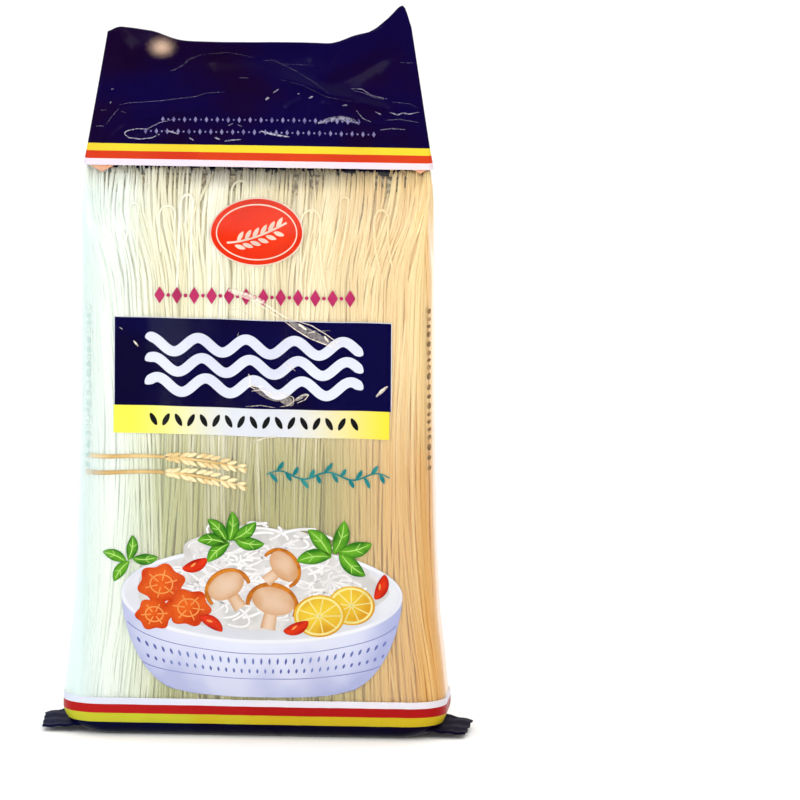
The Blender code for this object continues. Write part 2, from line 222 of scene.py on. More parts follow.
FRONT_GLINTS = (
    (1.6, 0.95, (233, 291.5), (250, 296.5), (268, 306), (285, 317.5), (297, 321.5)),
    (1.2, 0.80, (250, 299), (262, 306.5), (284, 321)),
    (1.2, 0.80, (297, 321.5), (312, 325.5), (326, 334), (340, 344)),
    (1.3, 0.90, (284, 321), (296, 330), (310, 338.5), (324, 344), (338, 349)),
    (3.0, 0.90, (299, 324.5), (307, 330)),
    (1.4, 0.60, (309, 333.5), (316, 331.5)),
    (2.6, 0.85, (325, 336), (329, 342)),
    (1.2, 0.60, (331, 344), (341, 340)),
    (2.0, 0.75, (135, 341.5), (139.5, 347)),
    (0.9, 0.50, (121, 328.2), (124.5, 330.4)),
    (1.6, 0.80, (249.5, 374), (252, 380.5), (249.5, 385.5), (256, 389)),
    (1.4, 0.80, (249, 385), (258, 386.5), (266, 386)),
    (1.4, 0.75, (253, 391), (262, 389.5), (269, 391.5), (274, 396), (265, 395)),
    (1.1, 0.60, (272, 391.5), (283, 393), (294, 397), (295, 401), (289, 405.5), (281, 406.5)),
    (1.2, 0.65, (296.5, 399.5), (303, 395), (309.5, 394.5), (306, 399.5), (298, 403)),
    (1.0, 0.45, (247, 406.5), (262, 405), (276, 407.5)),
    (2.2, 0.90, (377, 396), (381, 391), (387, 386.5)),
    (1.3, 0.60, (286, 363.5), (296, 371)),
    (1.0, 0.35, (229, 311), (240, 310), (251, 316)),
    (2.2, 0.45, (254, 442), (265, 438), (279, 436)),
    (1.0, 0.35, (238, 338), (239.5, 333)),
    (0.8, 0.30, (311, 331), (331, 331)),
)

# Painted reflections on flat patches between the front's creases: middle x and z, length, width, turn and
# strength
FRONT_FACET_REFLECTIONS = (
    (0.0257, 0.1741, 0.0240, 0.0034, -0.47, 0.22),
    (0.0060, 0.1482, 0.0120, 0.0030, -0.45, 0.18),
    (0.0140, 0.1460, 0.0080, 0.0038, -0.55, 0.24),
    (0.0205, 0.1473, 0.0060, 0.0016, 0.55, 0.28),
    (0.0546, 0.1501, 0.0070, 0.0012, 0.75, 0.45),
    (-0.0030, 0.1902, 0.0170, 0.0026, -0.28, 0.45),
)

# How far apart the points of shapes in the print and of glints lie, at most
PRINT_STEP = 0.0012
GLINT_STEP = 0.0005

# How many columns of film each stretch has: front, corner, side, corner, back, corner, side, corner
FILM_COLUMNS = (180, 12, 24, 12, 110, 12, 24, 12)
WINDOW_ROW_STEP = 0.0010
HEADER_ROWS = 58
PRINTED_ROW_STEP = 0.0009

# Noodles
NOODLE_LAYERS = 4
NOODLES_IN_A_LAYER = 430
NOODLE_SIDES = 6
LAYER_STEP = 0.00075
NOODLE_FOOT = (0.0040, 0.0085)
NOODLE_TOP = (0.2388, 0.2416)
NOODLE_WANDER = 0.0009
LOCK_WIDTHS = (0.006, 0.017)
LOCK_PULL = 0.42
LOCK_TOP_DROP = 0.0022
LOCK_SWAY = 0.0022
LOCK_SINK = 0.0007
LOCK_EDGE_SINK = 0.0006
WILD_SHARE = 0.16
INNER_WILD_SHARE = 0.05
NOODLE_POINTS = 34
NOODLE_TILT = 0.0014
NOODLE_SPLAY = 0.0012
NOODLE_CURL = 0.0060
NOODLE_RIPPLE = 0.00020
NOODLE_JITTER = 0.0003
CORE_GAP = 0.0009
NOODLE_GLOW = 0.080
FAN_OUT = 0.085
FRONT_LOOPS = 7
BACK_LOOPS = 4

# The section that noodles are spread over: half width, half depth and corner radius
SPREAD_A = 0.0750
SPREAD_B = 0.0255
SPREAD_R = 0.0150


def smooth(t):
    """Smooth step from 0 to 1."""
    t = np.clip(t, 0.0, 1.0)
    return t * t * (3 - 2 * t)


class Curve:
    """A smooth curve through stations, sorted by place, that doesn't overshoot them."""

    def __init__(self, places, values):
        self.places = np.array(places, float)
        self.values = np.array(values, float)
        slopes = np.diff(self.values) / np.diff(self.places)
        product = slopes[:-1] * slopes[1:]
        total = slopes[:-1] + slopes[1:]
        inner = np.where(product > 0, 2 * product / np.where(total == 0, 1, total), 0)
        self.tangents = np.concatenate([slopes[:1], inner, slopes[-1:]])

    def __call__(self, x):
        x = np.clip(x, self.places[0], self.places[-1])
        k = np.clip(np.searchsorted(self.places, x, side="right") - 1, 0, len(self.places) - 2)
        step = self.places[k + 1] - self.places[k]
        t = (x - self.places[k]) / step
        low = self.values[k] * (1 + 2 * t) * (1 - t) ** 2 + self.tangents[k] * step * t * (1 - t) ** 2
        high = self.values[k + 1] * t * t * (3 - 2 * t) + self.tangents[k + 1] * step * t * t * (t - 1)
        return low + high


HEIGHTS = [section[0] for section in SECTIONS]
HALF_WIDTH_AT, DEPTH_SHARE_AT, CORNER_SHARE_AT, TUCK_AT = (
    Curve(HEIGHTS, [section[k] for section in SECTIONS]) for k in range(1, 5)
)
TOP_LIFT_AT = Curve(*zip(*TOP_EDGE_LIFTS))


def profile(z):
    """Half width, half depth, corner radius and gusset tuck of the block at a height."""
    half_depth = DEPTH_SHARE_AT(z) * HALF_DEPTH
    return HALF_WIDTH_AT(z), half_depth, CORNER_SHARE_AT(z) * half_depth, TUCK_AT(z)


def fold_height(x, z, fold, sharpness=2):
    """The height at (x, z) of a ridge along a line, which fades out at both ends."""
    x0, z0, x1, z1, height, breadth = fold
    dx, dz = x1 - x0, z1 - z0
    length = math.hypot(dx, dz)
    along = ((x - x0) * dx + (z - z0) * dz) / length
    across = np.abs((z - z0) * dx - (x - x0) * dz) / length
    fading = CREASE_FADE_SHARE * length
    fade = smooth(along / fading) * smooth((length - along) / fading)
    return height * fade * np.exp(-((across / breadth) ** sharpness))


def header_sway(x, z):
    """How far the header's middle surface leans out of the bag's middle plane."""
    share = smooth((z - HEADER_FOOT_Z) / (HEADER_TOP_Z + TOP_LIFT_AT(x) - HEADER_FOOT_Z))
    wave = np.sin(HEADER_WAVES * math.pi * x / HEADER_TOP_HALF_WIDTH + HEADER_WAVE_START)
    folds = sum(fold_height(x, z, fold) for fold in HEADER_FOLDS)
    return share * (HEADER_LEAN + HEADER_SWAY * wave - folds)


def face_relief(x, z, half_width):
    """How far a broad face of the block swells and ripples out of its plain section."""
    fullness = smooth(z / SWELL_RISE) * smooth((HEADER_FOOT_Z - z) / SWELL_FALL)
    slow = np.sin(x / SLOW_RIPPLE + 1.3 * np.sin(0.2 * z / SLOW_RIPPLE))
    quick = np.sin(x / QUICK_RIPPLE + 2.0 + 0.9 * np.sin(0.1 * z / QUICK_RIPPLE + 1.0))
    return fullness * (FACE_SWELL * (1 - (x / half_width) ** 2) + FACE_RIPPLE * (slow + 0.6 * quick))


def header_half_depth(share):
    """Half the header's thickness at a share of its height."""
    b = HEADER_HALF_FOLD + (HEADER_HALF_EDGE - HEADER_HALF_FOLD) * smooth(share)
    return b + (HEADER_FOOT_HALF_DEPTH - HEADER_HALF_FOLD) * (1 - smooth(4 * share))


def face_depth(x, z):
    """How far the plain skin of a broad face stands from the middle plane."""
    a, b, r, _ = profile(z)
    share = (z - HEADER_FOOT_Z) / (HEADER_TOP_Z + TOP_LIFT_AT(x) - HEADER_FOOT_Z)
    header_b = header_half_depth(np.clip(share, 0, 1))
    edge = np.minimum(r, np.maximum(0.0, np.abs(x) - (a - r)))
    body = b - r + np.sqrt(np.maximum(r * r - edge * edge, 0)) + face_relief(x, z, a)
    return np.where(z > HEADER_FOOT_Z, header_b, body)


def ridged(points, size):
    """Ridged noise from 0 to about 1 at points, with cells of that size."""
    values = [1 - 2 * abs(noise.noise(Vector(p) / size)) for p in points]
    return np.maximum(np.array(values), 0) ** 2


def film_relief(x, z, front):
    """How far creases and crumples lift the film off the plain skin, at rows of points."""
    in_header = z > WINDOW_TOP
    lift = np.zeros_like(x)
    for crease in FRONT_CREASES + HEADER_CREASES:
        lift += np.where(front, fold_height(x, z, crease[:6], crease[6]), 0)
    points = np.stack([x.ravel(), np.where(front, 0.0, 0.5).ravel(), z.ravel()], axis=1)
    crumple = ridged(points, CRUMPLE_SIZE).reshape(x.shape)
    near_header = smooth((z - 0.215) / 0.03)
    near_base = smooth((0.045 - z) / 0.03)
    amount = np.where(in_header, CRUMPLE_HEADER, CRUMPLE_WINDOW * (1 + 2 * near_header + 2 * near_base))
    return lift + amount * crumple


def section_points(columns, a, b, r, tuck):
    """x and y round a rounded rectangle, by columns from 0 to 8 through its eight stretches."""
    back = columns >= 4
    k = np.where(back, columns - 4, columns)
    flat = a - r
    turn = 0.5 * math.pi * (k - np.where(k < 2, 1, 3))
    stretches = [k < 1, k < 2, k < 3]
    side = b - r
    c, s = r * np.cos(turn), r * np.sin(turn)
    x = np.select(stretches, [-flat + 2 * flat * k, flat + s, a + 0 * k], flat + c)
    y = np.select(stretches, [-b + 0 * k, -side - c, side * (2 * k - 5)], side + s)
    x, y = np.where(back, -x, x), np.where(back, -y, y)
    inward = tuck * (1 - np.minimum(1.0, np.abs(y) / b)) * smooth((np.abs(x) - flat) / r)
    return x - np.sign(x) * inward, y


def film_row(columns, height=None, share=None):
    """A row of film points: at a height, or above the stripes at a share of the header that is left."""
    header_start = (TOP_YELLOW_TOP - HEADER_FOOT_Z) / (HEADER_TOP_Z - HEADER_FOOT_Z)
    if share is None and height <= HEADER_FOOT_Z:
        a, b, r, tuck = (float(v) for v in profile(height))
        x, y = section_points(columns, a + FILM_LIFT, b + FILM_LIFT, r, tuck)
        z = np.full_like(x, height)
        y = y + np.copysign(face_relief(x, z, a) * smooth((np.abs(y) - (b - r)) / r), y)
    else:
        if share is None:
            up = (height - HEADER_FOOT_Z) / (HEADER_TOP_Z - HEADER_FOOT_Z)
        else:
            up = header_start + (1 - header_start) * share
        a = HEADER_FOOT_HALF_WIDTH + (HEADER_TOP_HALF_WIDTH - HEADER_FOOT_HALF_WIDTH) * up
        b = float(header_half_depth(up))
        x, y = section_points(columns, a, b + FILM_LIFT, 0.8 * b, 0.0)
        if share is None:
            z = np.full_like(x, height)
        else:
            z = TOP_YELLOW_TOP + (HEADER_TOP_Z + TOP_LIFT_AT(x) - TOP_YELLOW_TOP) * share
        y = y + header_sway(x, z)
    return x, y, z


def film_points(rows):
    """The film's points, rows by columns by 3, with creases and crumples."""
    columns = np.concatenate([k + np.arange(n) / n for k, n in enumerate(FILM_COLUMNS)])
    x, y, z = (np.array(v) for v in zip(*(film_row(columns, **row) for row in rows)))
    on_face = (columns < 1) | ((columns >= 4) & (columns < 5))
    near_corner = np.where(columns < 4, columns, columns - 4)
    off_face = np.clip(np.minimum(abs(near_corner - 1), abs(near_corner - 4)), 0, 1)
    weight = np.where(on_face, 1.0, 1.0 - off_face)
    front = np.broadcast_to((columns < 2) | (columns >= 7), x.shape)
    relief = film_relief(x, z, front) * weight
    y = y + np.where(front, -relief, relief)
    return np.stack([x, y, z], axis=2)


def build_mesh(name, points, *face_groups, materials, indices=None):
    """A smooth object from points and groups of faces, each group an array with one face a row."""
    mesh = bpy.data.meshes.new(name)
    groups = [np.asarray(group, np.int32) for group in face_groups if len(group)]
    corners = np.concatenate([group.ravel() for group in groups])
    totals = np.concatenate([np.full(len(group), group.shape[1], np.int32) for group in groups])
    starts = np.concatenate([[0], np.cumsum(totals)[:-1]]).astype(np.int32)
    mesh.vertices.add(len(points))
    mesh.vertices.foreach_set("co", np.asarray(points, np.float32).ravel())
    mesh.loops.add(len(corners))
    mesh.loops.foreach_set("vertex_index", corners)
    mesh.polygons.add(len(totals))
    mesh.polygons.foreach_set("loop_start", starts)
    for material in materials:
        mesh.materials.append(material)
    if indices is not None:
        mesh.polygons.foreach_set("material_index", np.asarray(indices, np.int32))
    mesh.update(calc_edges=True)
    mesh.validate()
    mesh.shade_smooth()
    made = bpy.data.objects.new(name, mesh)
    bpy.context.scene.collection.objects.link(made)
    return made


def add_attribute(made, name, values):
    """Gives an object a number at each point, which its material reads by that name."""
    attribute = made.data.attributes.new(name, "FLOAT", "POINT")
    attribute.data.foreach_set("value", np.asarray(values, np.float32))


def grid_faces(rows, columns, closed):
    """Quads of a grid of points, rows by columns, closed round its rows if asked."""
    wide = columns if closed else columns - 1
    r, c = np.meshgrid(np.arange(rows - 1), np.arange(wide), indexing="ij")
    r, c = r.ravel(), c.ravel()
    d = (c + 1) % columns
    low, high = r * columns, (r + 1) * columns
    return np.stack([low + c, low + d, high + d, high + c], axis=1)


# Materials


def linear(r, g, b):
    """A colour given from 0 to 255 as the screen shows it, as linear RGBA."""
    shares = [v / 255 for v in (r, g, b)]
    return tuple(v / 12.92 if v <= 0.04045 else ((v + 0.055) / 1.055) ** 2.4 for v in shares) + (1.0,)


class Nodes:
    """The nodes of a material or a world. An input is a socket to link from or a value, and a
    colour of three numbers is given from 0 to 255 as the screen shows it."""

    def __init__(self, owner):
        owner.use_nodes = True
        self.owner, self.tree = owner, owner.node_tree

    def add(self, kind, inputs=None, **settings):
        made = self.tree.nodes.new("ShaderNode" + kind)
        for key, value in settings.items():
            setattr(made, key, value)
        for key, value in (inputs or {}).items():
            socket = made.inputs[key]
            if isinstance(value, bpy.types.NodeSocket):
                self.tree.links.new(value, socket)
            else:
                from_screen = socket.type == "RGBA" and len(value) == 3
                socket.default_value = linear(*value) if from_screen else value
        return made

    def axes(self, space="Object"):
        """The place's x, y and z."""
        return self.add("SeparateXYZ", {"Vector": self.add("TexCoord").outputs[space]}).outputs

    def noise(self, scale, stretch=(1, 1, 1), detail=2.0):
        """Noise in the object's own space, stretched along its axes."""
        mapped = self.add("Mapping", {"Vector": self.add("TexCoord").outputs["Object"], "Scale": stretch})
        inputs = {"Vector": mapped.outputs["Vector"], "Scale": scale, "Detail": detail}
        return self.add("TexNoise", inputs).outputs["Fac"]

    def attribute(self, name):
        return self.add("Attribute", attribute_name=name).outputs["Fac"]

    def maths(self, operation, *values):
        return self.add("Math", dict(enumerate(values)), operation=operation).outputs[0]

    def ramp(self, factor, low, high):
        """The factor's stretch from low to high, as 0 to 1."""
        inputs = {"Value": factor, "From Min": low, "From Max": high}
        return self.add("MapRange", inputs, interpolation_type="SMOOTHSTEP").outputs["Result"]

    def mix(self, factor, first, second):
        """A mix of two colours; the node's sockets 6 and 7 take them, and its output 2 gives it."""
        return self.add("Mix", {"Factor": factor, 6: first, 7: second}, data_type="RGBA").outputs[2]

    def bump(self, height, strength):
        inputs = {"Height": height, "Strength": strength, "Distance": 0.001}
        return self.add("Bump", inputs).outputs["Normal"]

    def creases(self, strength, size):
        """A bump of fine, sharp creases, as thin film has."""
        middle = self.maths("SUBTRACT", self.noise(1 / size, detail=3.0), 0.5)
        return self.bump(self.maths("ABSOLUTE", middle), strength)

    def principled(self, colour, roughness, **more):
        """A shader; underscores in the names of its other inputs stand for blanks."""
        inputs = {"Base Color": colour, "Roughness": roughness}
        inputs.update((key.replace("_", " "), value) for key, value in more.items())
        return self.add("BsdfPrincipled", inputs).outputs[0]

    def clear(self, colour=(1, 1, 1, 1)):
        return self.add("BsdfTransparent", {"Color": colour}).outputs[0]

    def blend(self, factor, first, second):
        """A mix of two shaders."""
        return self.add("MixShader", {0: factor, 1: first, 2: second}).outputs[0]

    def surface(self, shader):
        """The material, with that shader on its surface."""
        self.add("OutputMaterial", {"Surface": shader})
        return self.owner


def material_nodes(name):
    """The nodes of a new material, still empty."""
    nodes = Nodes(bpy.data.materials.new(name))
    nodes.tree.nodes.clear()
    return nodes


def film_material():
    """Clear glossy film with faint milky patches of haze, and a painted glare of milky white down the left
    edge and a trace at the right, tinted cool at the left and warm at the right as the lights fall.
    """
    nodes = material_nodes("clear_film")
    normal = nodes.creases(0.30, 0.012)
    gloss = nodes.principled((1, 1, 1, 1), 0.10, Metallic=1.0, Normal=normal)
    x, y, _ = nodes.axes()
    # Painted glare: milky white down the left edge, most near the front, and a trace at the right edge.
    near_front = nodes.maths("MULTIPLY_ADD", nodes.ramp(y, -0.001, -0.019), 0.75, 0.25)
    left = nodes.maths("MULTIPLY", nodes.ramp(x, -0.0595, -0.0750), near_front)
    right = nodes.maths("MULTIPLY", nodes.ramp(x, 0.066, 0.0765), 0.03)
    side = nodes.maths("MULTIPLY_ADD", left, 0.47, right)
    patchy = nodes.ramp(nodes.noise(34.0, (1.5, 1.0, 0.45), 3.0), 0.48, 0.74)
    amount = nodes.maths("MULTIPLY_ADD", patchy, 0.015, side)
    # Painted light: the milk is tinted cool at the left and warm at the right, as the lights fall.
    haze_and_glare_tint = nodes.mix(nodes.ramp(x, -0.06, 0.03), (230, 249, 250), (250, 204, 138))
    haze_and_glare = nodes.principled(haze_and_glare_tint, 0.5, Specular_IOR_Level=0.1, Normal=normal)
    facing = nodes.add("LayerWeight", {"Blend": 0.5, "Normal": normal}).outputs["Facing"]
    mirrored = nodes.maths("MULTIPLY_ADD", nodes.maths("POWER", facing, 5.0), 0.70, 0.02)
    film_with_haze_and_glare = nodes.blend(amount, nodes.clear((0.99, 0.99, 0.985, 1)), haze_and_glare)
    return nodes.surface(nodes.blend(mirrored, film_with_haze_and_glare, gloss))


def printed_film(name, colour, second, creases=0.22, roughness=0.38, coat=0.05):
    """Opaque printed film: two close colours in soft patches, with a glossy coat and fine creases."""
    nodes = material_nodes(name)
    share = nodes.ramp(nodes.noise(18.0, (1, 1, 1.4), 3.0), 0.38, 0.66)
    normal = nodes.creases(creases, 0.010)
    return nodes.surface(nodes.principled(
        nodes.mix(share, colour, second), roughness, Specular_IOR_Level=0.04, Coat_Weight=coat,
        Coat_Roughness=0.16, Normal=normal, Coat_Normal=normal))


def ink_material(name, colour, second=None, form=0.0, patch=60.0):
    """Ink behind the film: a colour that drifts to a second one in patches, and with the form asked
    for also towards the rims and feet of its shapes."""
    nodes = material_nodes(name)
    second = second or tuple(0.82 * v for v in linear(*colour)[:3]) + (1.0,)
    share = nodes.ramp(nodes.noise(patch, detail=3.0), 0.40, 0.68)
    drift = nodes.maths("MULTIPLY", share, 1 - 0.6 * form)
    total = nodes.maths("MULTIPLY_ADD", nodes.attribute("shade"), form, drift)
    mixed = nodes.mix(nodes.maths("MINIMUM", total, 1.0), colour, second)
    return nodes.surface(nodes.principled(mixed, 0.5, Specular_IOR_Level=0.05))


def glint_material(name, colour, glow, wispy=0.6):
    """Pale, wispy film as strong as its strokes' shade, with a faint glow: painted highlights along sharp
    creases, painted reflections, and milky veils of haze and painted glare.
    """
    nodes = material_nodes(name)
    broken = nodes.ramp(nodes.noise(900.0), 0.30, 0.62)
    strength = nodes.maths("MULTIPLY_ADD", broken, wispy, 1 - wispy)
    amount = nodes.maths("MULTIPLY", strength, nodes.attribute("shade"))
    pale = nodes.principled(
        colour, 0.5, Specular_IOR_Level=0.2, Emission_Color=colour, Emission_Strength=glow)
    return nodes.surface(nodes.blend(amount, nodes.clear(), pale))


def band_material():
    """The label's lower band: strong yellow at both ends, fading to near white in the middle."""
    nodes = material_nodes("ink_band")
    x = nodes.axes()[0]
    share = nodes.ramp(nodes.maths("ABSOLUTE", nodes.maths("SUBTRACT", x, 0.003)), 0.008, 0.056)
    yellow = nodes.mix(nodes.ramp(x, -0.05, 0.05), (236, 232, 70), (236, 214, 40))
    return nodes.surface(nodes.principled(nodes.mix(share, (208, 211, 222), yellow), 0.45))


def noodle_material():
    """Dried rice noodle, a little translucent: cream, from pale to golden by noodle. Light and shade are
    painted in: washed near white down the left edge as painted glare, warmer to the right as painted
    warm light, olive and darker lower down and towards the middle as painted shade, and darker under
    the header's middle as a painted shadow. A faint glow stands for the light that strays between the
    noodles."""
    nodes = material_nodes("rice_noodle")
    x, y, z = nodes.axes()
    # Painted light and shade: warmer to the right as the warm light falls, olive and darker lower down and
    # towards the middle.
    across = nodes.ramp(x, -0.022, 0.082)
    down = nodes.ramp(z, 0.172, 0.104)
    middle = nodes.ramp(nodes.maths("ABSOLUTE", nodes.maths("ADD", x, -0.004)), 0.055, 0.010)
    pale = nodes.mix(across, (254, 253, 242), (254, 237, 182))
    upper = nodes.mix(across, (238, 231, 196), (242, 208, 144))
    sides = nodes.mix(across, (202, 207, 158), (232, 184, 108))
    deep = nodes.mix(down, upper, nodes.mix(middle, sides, (184, 176, 112)))
    streaks = nodes.noise(260.0, (1, 1, 0.06))
    drift = nodes.maths("MULTIPLY_ADD", streaks, 0.34, nodes.attribute("tone"))
    drift = nodes.maths("MULTIPLY_ADD", nodes.noise(30.0, (1, 1, 0.35)), 0.62, drift)
    drift = nodes.maths("MULTIPLY_ADD", down, 0.50, drift)
    cream = nodes.mix(nodes.ramp(drift, 0.45, 1.60), pale, deep)
    # Painted glare: washed near white down the left edge, most near the front.
    near_front = nodes.maths("MULTIPLY_ADD", nodes.ramp(y, 0.004, -0.014), 0.65, 0.35)
    glare_whitened = nodes.maths("MULTIPLY", nodes.ramp(x, -0.036, -0.060), near_front)
    # Painted shadow: darker under the header's middle.
    under = nodes.maths("MULTIPLY", nodes.ramp(z, 0.2310, 0.2400), middle)
    shadowed = nodes.mix(nodes.maths("MULTIPLY", under, 0.62), cream, (112, 98, 74))
    colour = nodes.mix(glare_whitened, shadowed, (246, 252, 247))
    outside = nodes.principled(
        colour, 0.45, Specular_IOR_Level=0.3, Emission_Color=colour, Emission_Strength=NOODLE_GLOW)
    through = nodes.add("BsdfTranslucent", {"Color": colour}).outputs[0]
    return nodes.surface(nodes.blend(0.26, outside, through))


def core_material():
    """The bundle's inside as it shows between noodles: tan with streaks along them, darker than the noodles
    as painted shade between them, washed near white at the left as painted glare, darker near the top as a
    painted shadow under the header, and with a faint painted glow.
    """
    nodes = material_nodes("bundle_core")
    streaks = nodes.noise(820.0, (1, 1, 0.02), 3.0)
    share = nodes.ramp(streaks, 0.38, 0.62)
    x, _, z = nodes.axes()
    # Painted shade: tan, darker than the noodles, for the shaded noodles deeper in.
    tan = nodes.mix(share, (196, 180, 136), (240, 226, 186))
    # Painted glare: washed near white at the left.
    colour = nodes.mix(nodes.ramp(x, -0.036, -0.060), tan, (240, 243, 236))
    # Painted shadow: darker near the top, under the header.
    shade = nodes.mix(share, (126, 114, 94), (192, 180, 150))
    colour = nodes.mix(nodes.ramp(z, 0.2250, 0.2340), colour, shade)
    # A faint painted glow, as the noodles have, for light that strays between them.
    return nodes.surface(nodes.principled(
        colour, 0.7, Specular_IOR_Level=0.1, Normal=nodes.bump(streaks, 0.6), Emission_Color=colour,
        Emission_Strength=0.6 * NOODLE_GLOW))


# Film


def heights_between(marks, step):
    """Heights through all the marks, about a step apart."""
    rows = [marks[0]]
    for low, high in zip(marks, marks[1:]):
        count = max(1, round((high - low) / step))
        rows += [low + (high - low) * (k + 1) / count for k in range(count)]
    return rows


def film_window():
    """The clear stretch of film, from the base's white stripe to the header's."""
    rows = heights_between((BASE_WHITE_TOP, WINDOW_TOP), WINDOW_ROW_STEP)
    points = film_points([{"height": z} for z in rows])
    faces = grid_faces(len(rows), points.shape[1], True)
    return build_mesh("film_window", points.reshape(-1, 3), faces, materials=[film_material()])


def stripe_kinds(rows, ends):
    """For each band between two rows, the stripe that it lies in, counted from the lowest."""
    return np.searchsorted(ends, [(low + high) / 2 for low, high in zip(rows, rows[1:])])


def film_header(inks):
    """The printed header: three stripes, then navy up to its closed top edge."""
    stripes = heights_between((WINDOW_TOP, TOP_WHITE_TOP, TOP_RED_TOP, TOP_YELLOW_TOP), PRINTED_ROW_STEP)
    rows = [{"height": z} for z in stripes]
    rows += [{"share": (k + 1) / HEADER_ROWS} for k in range(HEADER_ROWS)]
    points = film_points(rows)
    columns = points.shape[1]
    faces = grid_faces(len(rows), columns, True)
    kinds = stripe_kinds(stripes, (TOP_WHITE_TOP, TOP_RED_TOP, TOP_YELLOW_TOP))
    kinds = np.concatenate([kinds, np.full(HEADER_ROWS, 3)])
    top = top_faces(columns, (len(rows) - 1) * columns)
    indices = np.concatenate([np.repeat(kinds, columns), np.full(len(top), 3)])
    materials = [inks[name] for name in ("film_top_white", "film_top_red", "film_top_yellow", "film_navy")]
    return build_mesh("film_header", points.reshape(-1, 3), faces, top, materials=materials, indices=indices)


def top_faces(columns, first):
    """Triangles that close the header's top row, from its front points to its back points."""
    right = FILM_COLUMNS[0] + FILM_COLUMNS[1] + FILM_COLUMNS[2] // 2
    left = columns - FILM_COLUMNS[1] - FILM_COLUMNS[2] // 2
    ahead = [(left + k) % columns for k in range((right - left) % columns + 1)]
    behind = [(left - k) % columns for k in range((left - right) % columns + 1)]
    faces = []
    i = j = 0
    last_i, last_j = len(ahead) - 1, len(behind) - 1
    while i < last_i or j < last_j:
        if j == last_j or (i < last_i and (i + 1) * last_j <= (j + 1) * last_i):
            face = (ahead[i], ahead[i + 1], behind[j])
            i += 1
        else:
            face = (ahead[i], behind[j + 1], behind[j])
            j += 1
        if len(set(face)) == 3:
            faces.append([first + v for v in face])
    return faces


def film_base(inks):
    """The printed base: navy round the floor, then yellow, red and white stripes."""
    marks = (0.0, BASE_NAVY_TOP, BASE_YELLOW_TOP, BASE_RED_TOP, BASE_WHITE_TOP)
    rows = heights_between(marks, PRINTED_ROW_STEP)
    points = film_points([{"height": z} for z in rows])
    columns = points.shape[1]
    faces = grid_faces(len(rows), columns, True)
    rings = [points[0] * (share, share, 1) for share in (0.9, 0.7, 0.45, 0.2)]
    all_points = np.concatenate([points.reshape(-1, 3), *rings, [[0, 0, 0]]])
    start = len(rows) * columns
    order = [np.arange(columns)] + [start + k * columns + np.arange(columns) for k in range(len(rings))]
    under = [np.stack([far, np.roll(far, -1), np.roll(near, -1), near], axis=1)
             for near, far in zip(order, order[1:])]
    fan = np.stack([np.roll(order[-1], -1), order[-1], np.full(columns, len(all_points) - 1)], axis=1)
    quads = np.concatenate([faces, *under])
    stripes = np.repeat(stripe_kinds(rows, marks[1:4]), columns)
    indices = np.concatenate([stripes, np.zeros(len(quads) - len(faces) + len(fan), int)])
    names = ("film_navy_base", "film_base_yellow", "film_base_red", "film_base_white")
    materials = [inks[name] for name in names]
    return build_mesh("film_base", all_points, quads, fan, materials=materials, indices=indices)


# The flaps: how far they reach, and their rear and front edges, each from the root to the tip as
# depth and height
EAR_REACH = 0.0110
EAR_ROOT_X = BASE_HALF_WIDTH - 0.0150
EAR_TIP_X = BASE_HALF_WIDTH + EAR_REACH
EAR_REAR_EDGE = ((0.006, 0.0084), (0.009, 0.0032))
EAR_FRONT_EDGE = ((-0.019, 0.0046), (-0.018, 0.0020))
EAR_TIP_INSET = 0.0004
EAR_THICKNESS = 0.0009
EAR_GRID = (26, 22)


def base_flap(name, side, material):
    """A flap of the folded base: a bent sheet that sticks out past one side."""
    along, across = np.meshgrid(*(np.linspace(0, 1, n) for n in EAR_GRID), indexing="ij")
    rear = [a + (b - a) * along for a, b in zip(*EAR_REAR_EDGE)]
    front = [a + (b - a) * along for a, b in zip(*EAR_FRONT_EDGE)]
    x = EAR_ROOT_X + (EAR_TIP_X - EAR_TIP_INSET - EAR_ROOT_X) * along - 0.0012 * along * across
    x = x - 0.0005 * along * np.sin(9 * across) ** 2
    y = rear[0] + (front[0] - rear[0]) * across
    z = rear[1] + (front[1] - rear[1]) * across - 0.0010 * (1 - along) * np.sin(math.pi * across)
    z = z + 0.00030 * np.sin(16 * across + 5 * along) * along + 0.0002 * np.sin(23 * along + 4 * across)
    points = np.stack([side * x, y, z], axis=2).reshape(-1, 3)
    faces = grid_faces(*EAR_GRID, False)
    made = build_mesh(name, points, faces if side < 0 else faces[:, ::-1], materials=[material])
    thick = made.modifiers.new("thickness", "SOLIDIFY")
    thick.thickness = EAR_THICKNESS
    thick.offset = 0.0
    return made


# Noodles


# Arc lengths from the front's left end to the ends of the section's eight stretches
FLAT, BEND, SIDE = 2 * (SPREAD_A - SPREAD_R), 0.5 * math.pi * SPREAD_R, 2 * (SPREAD_B - SPREAD_R)
SPREAD_ENDS = np.cumsum([0, FLAT, BEND, SIDE, BEND, FLAT, BEND, SIDE, BEND])
ROUND = SPREAD_ENDS[-1]


def wrap(s, z, depth):
    """Points at a depth inside the skin, and the way out there. s is the arc length round the
    section, from 0 at the front's middle to positive on the right, and to half the round behind."""
    places = np.mod(s + SPREAD_A - SPREAD_R, ROUND)
    columns = np.interp(places, SPREAD_ENDS, np.arange(9))
    columns = np.where(columns >= 8, 0, columns)
    a, b, r, tuck = profile(z)
    wide = a
    depth = np.minimum(depth, 0.5 * b)
    a, b, r = a - depth, b - depth, np.maximum(r - depth, 0.25 * r)
    x, y = section_points(columns, a, b, r, tuck)
    k = np.mod(columns, 4)
    turn = 0.5 * math.pi * (np.clip(k, 1, 2) - 1 + np.clip(k, 3, 4) - 3)
    turned = np.where(columns >= 4, -1, 1)
    out_x, out_y = turned * np.sin(turn), -turned * np.cos(turn)
    y = y + np.copysign(face_relief(x, z, wide) * smooth((np.abs(y) - (b - r)) / r), y)
    return np.stack([x, y, z], axis=-1), np.stack([out_x, out_y, 0 * z], axis=-1)


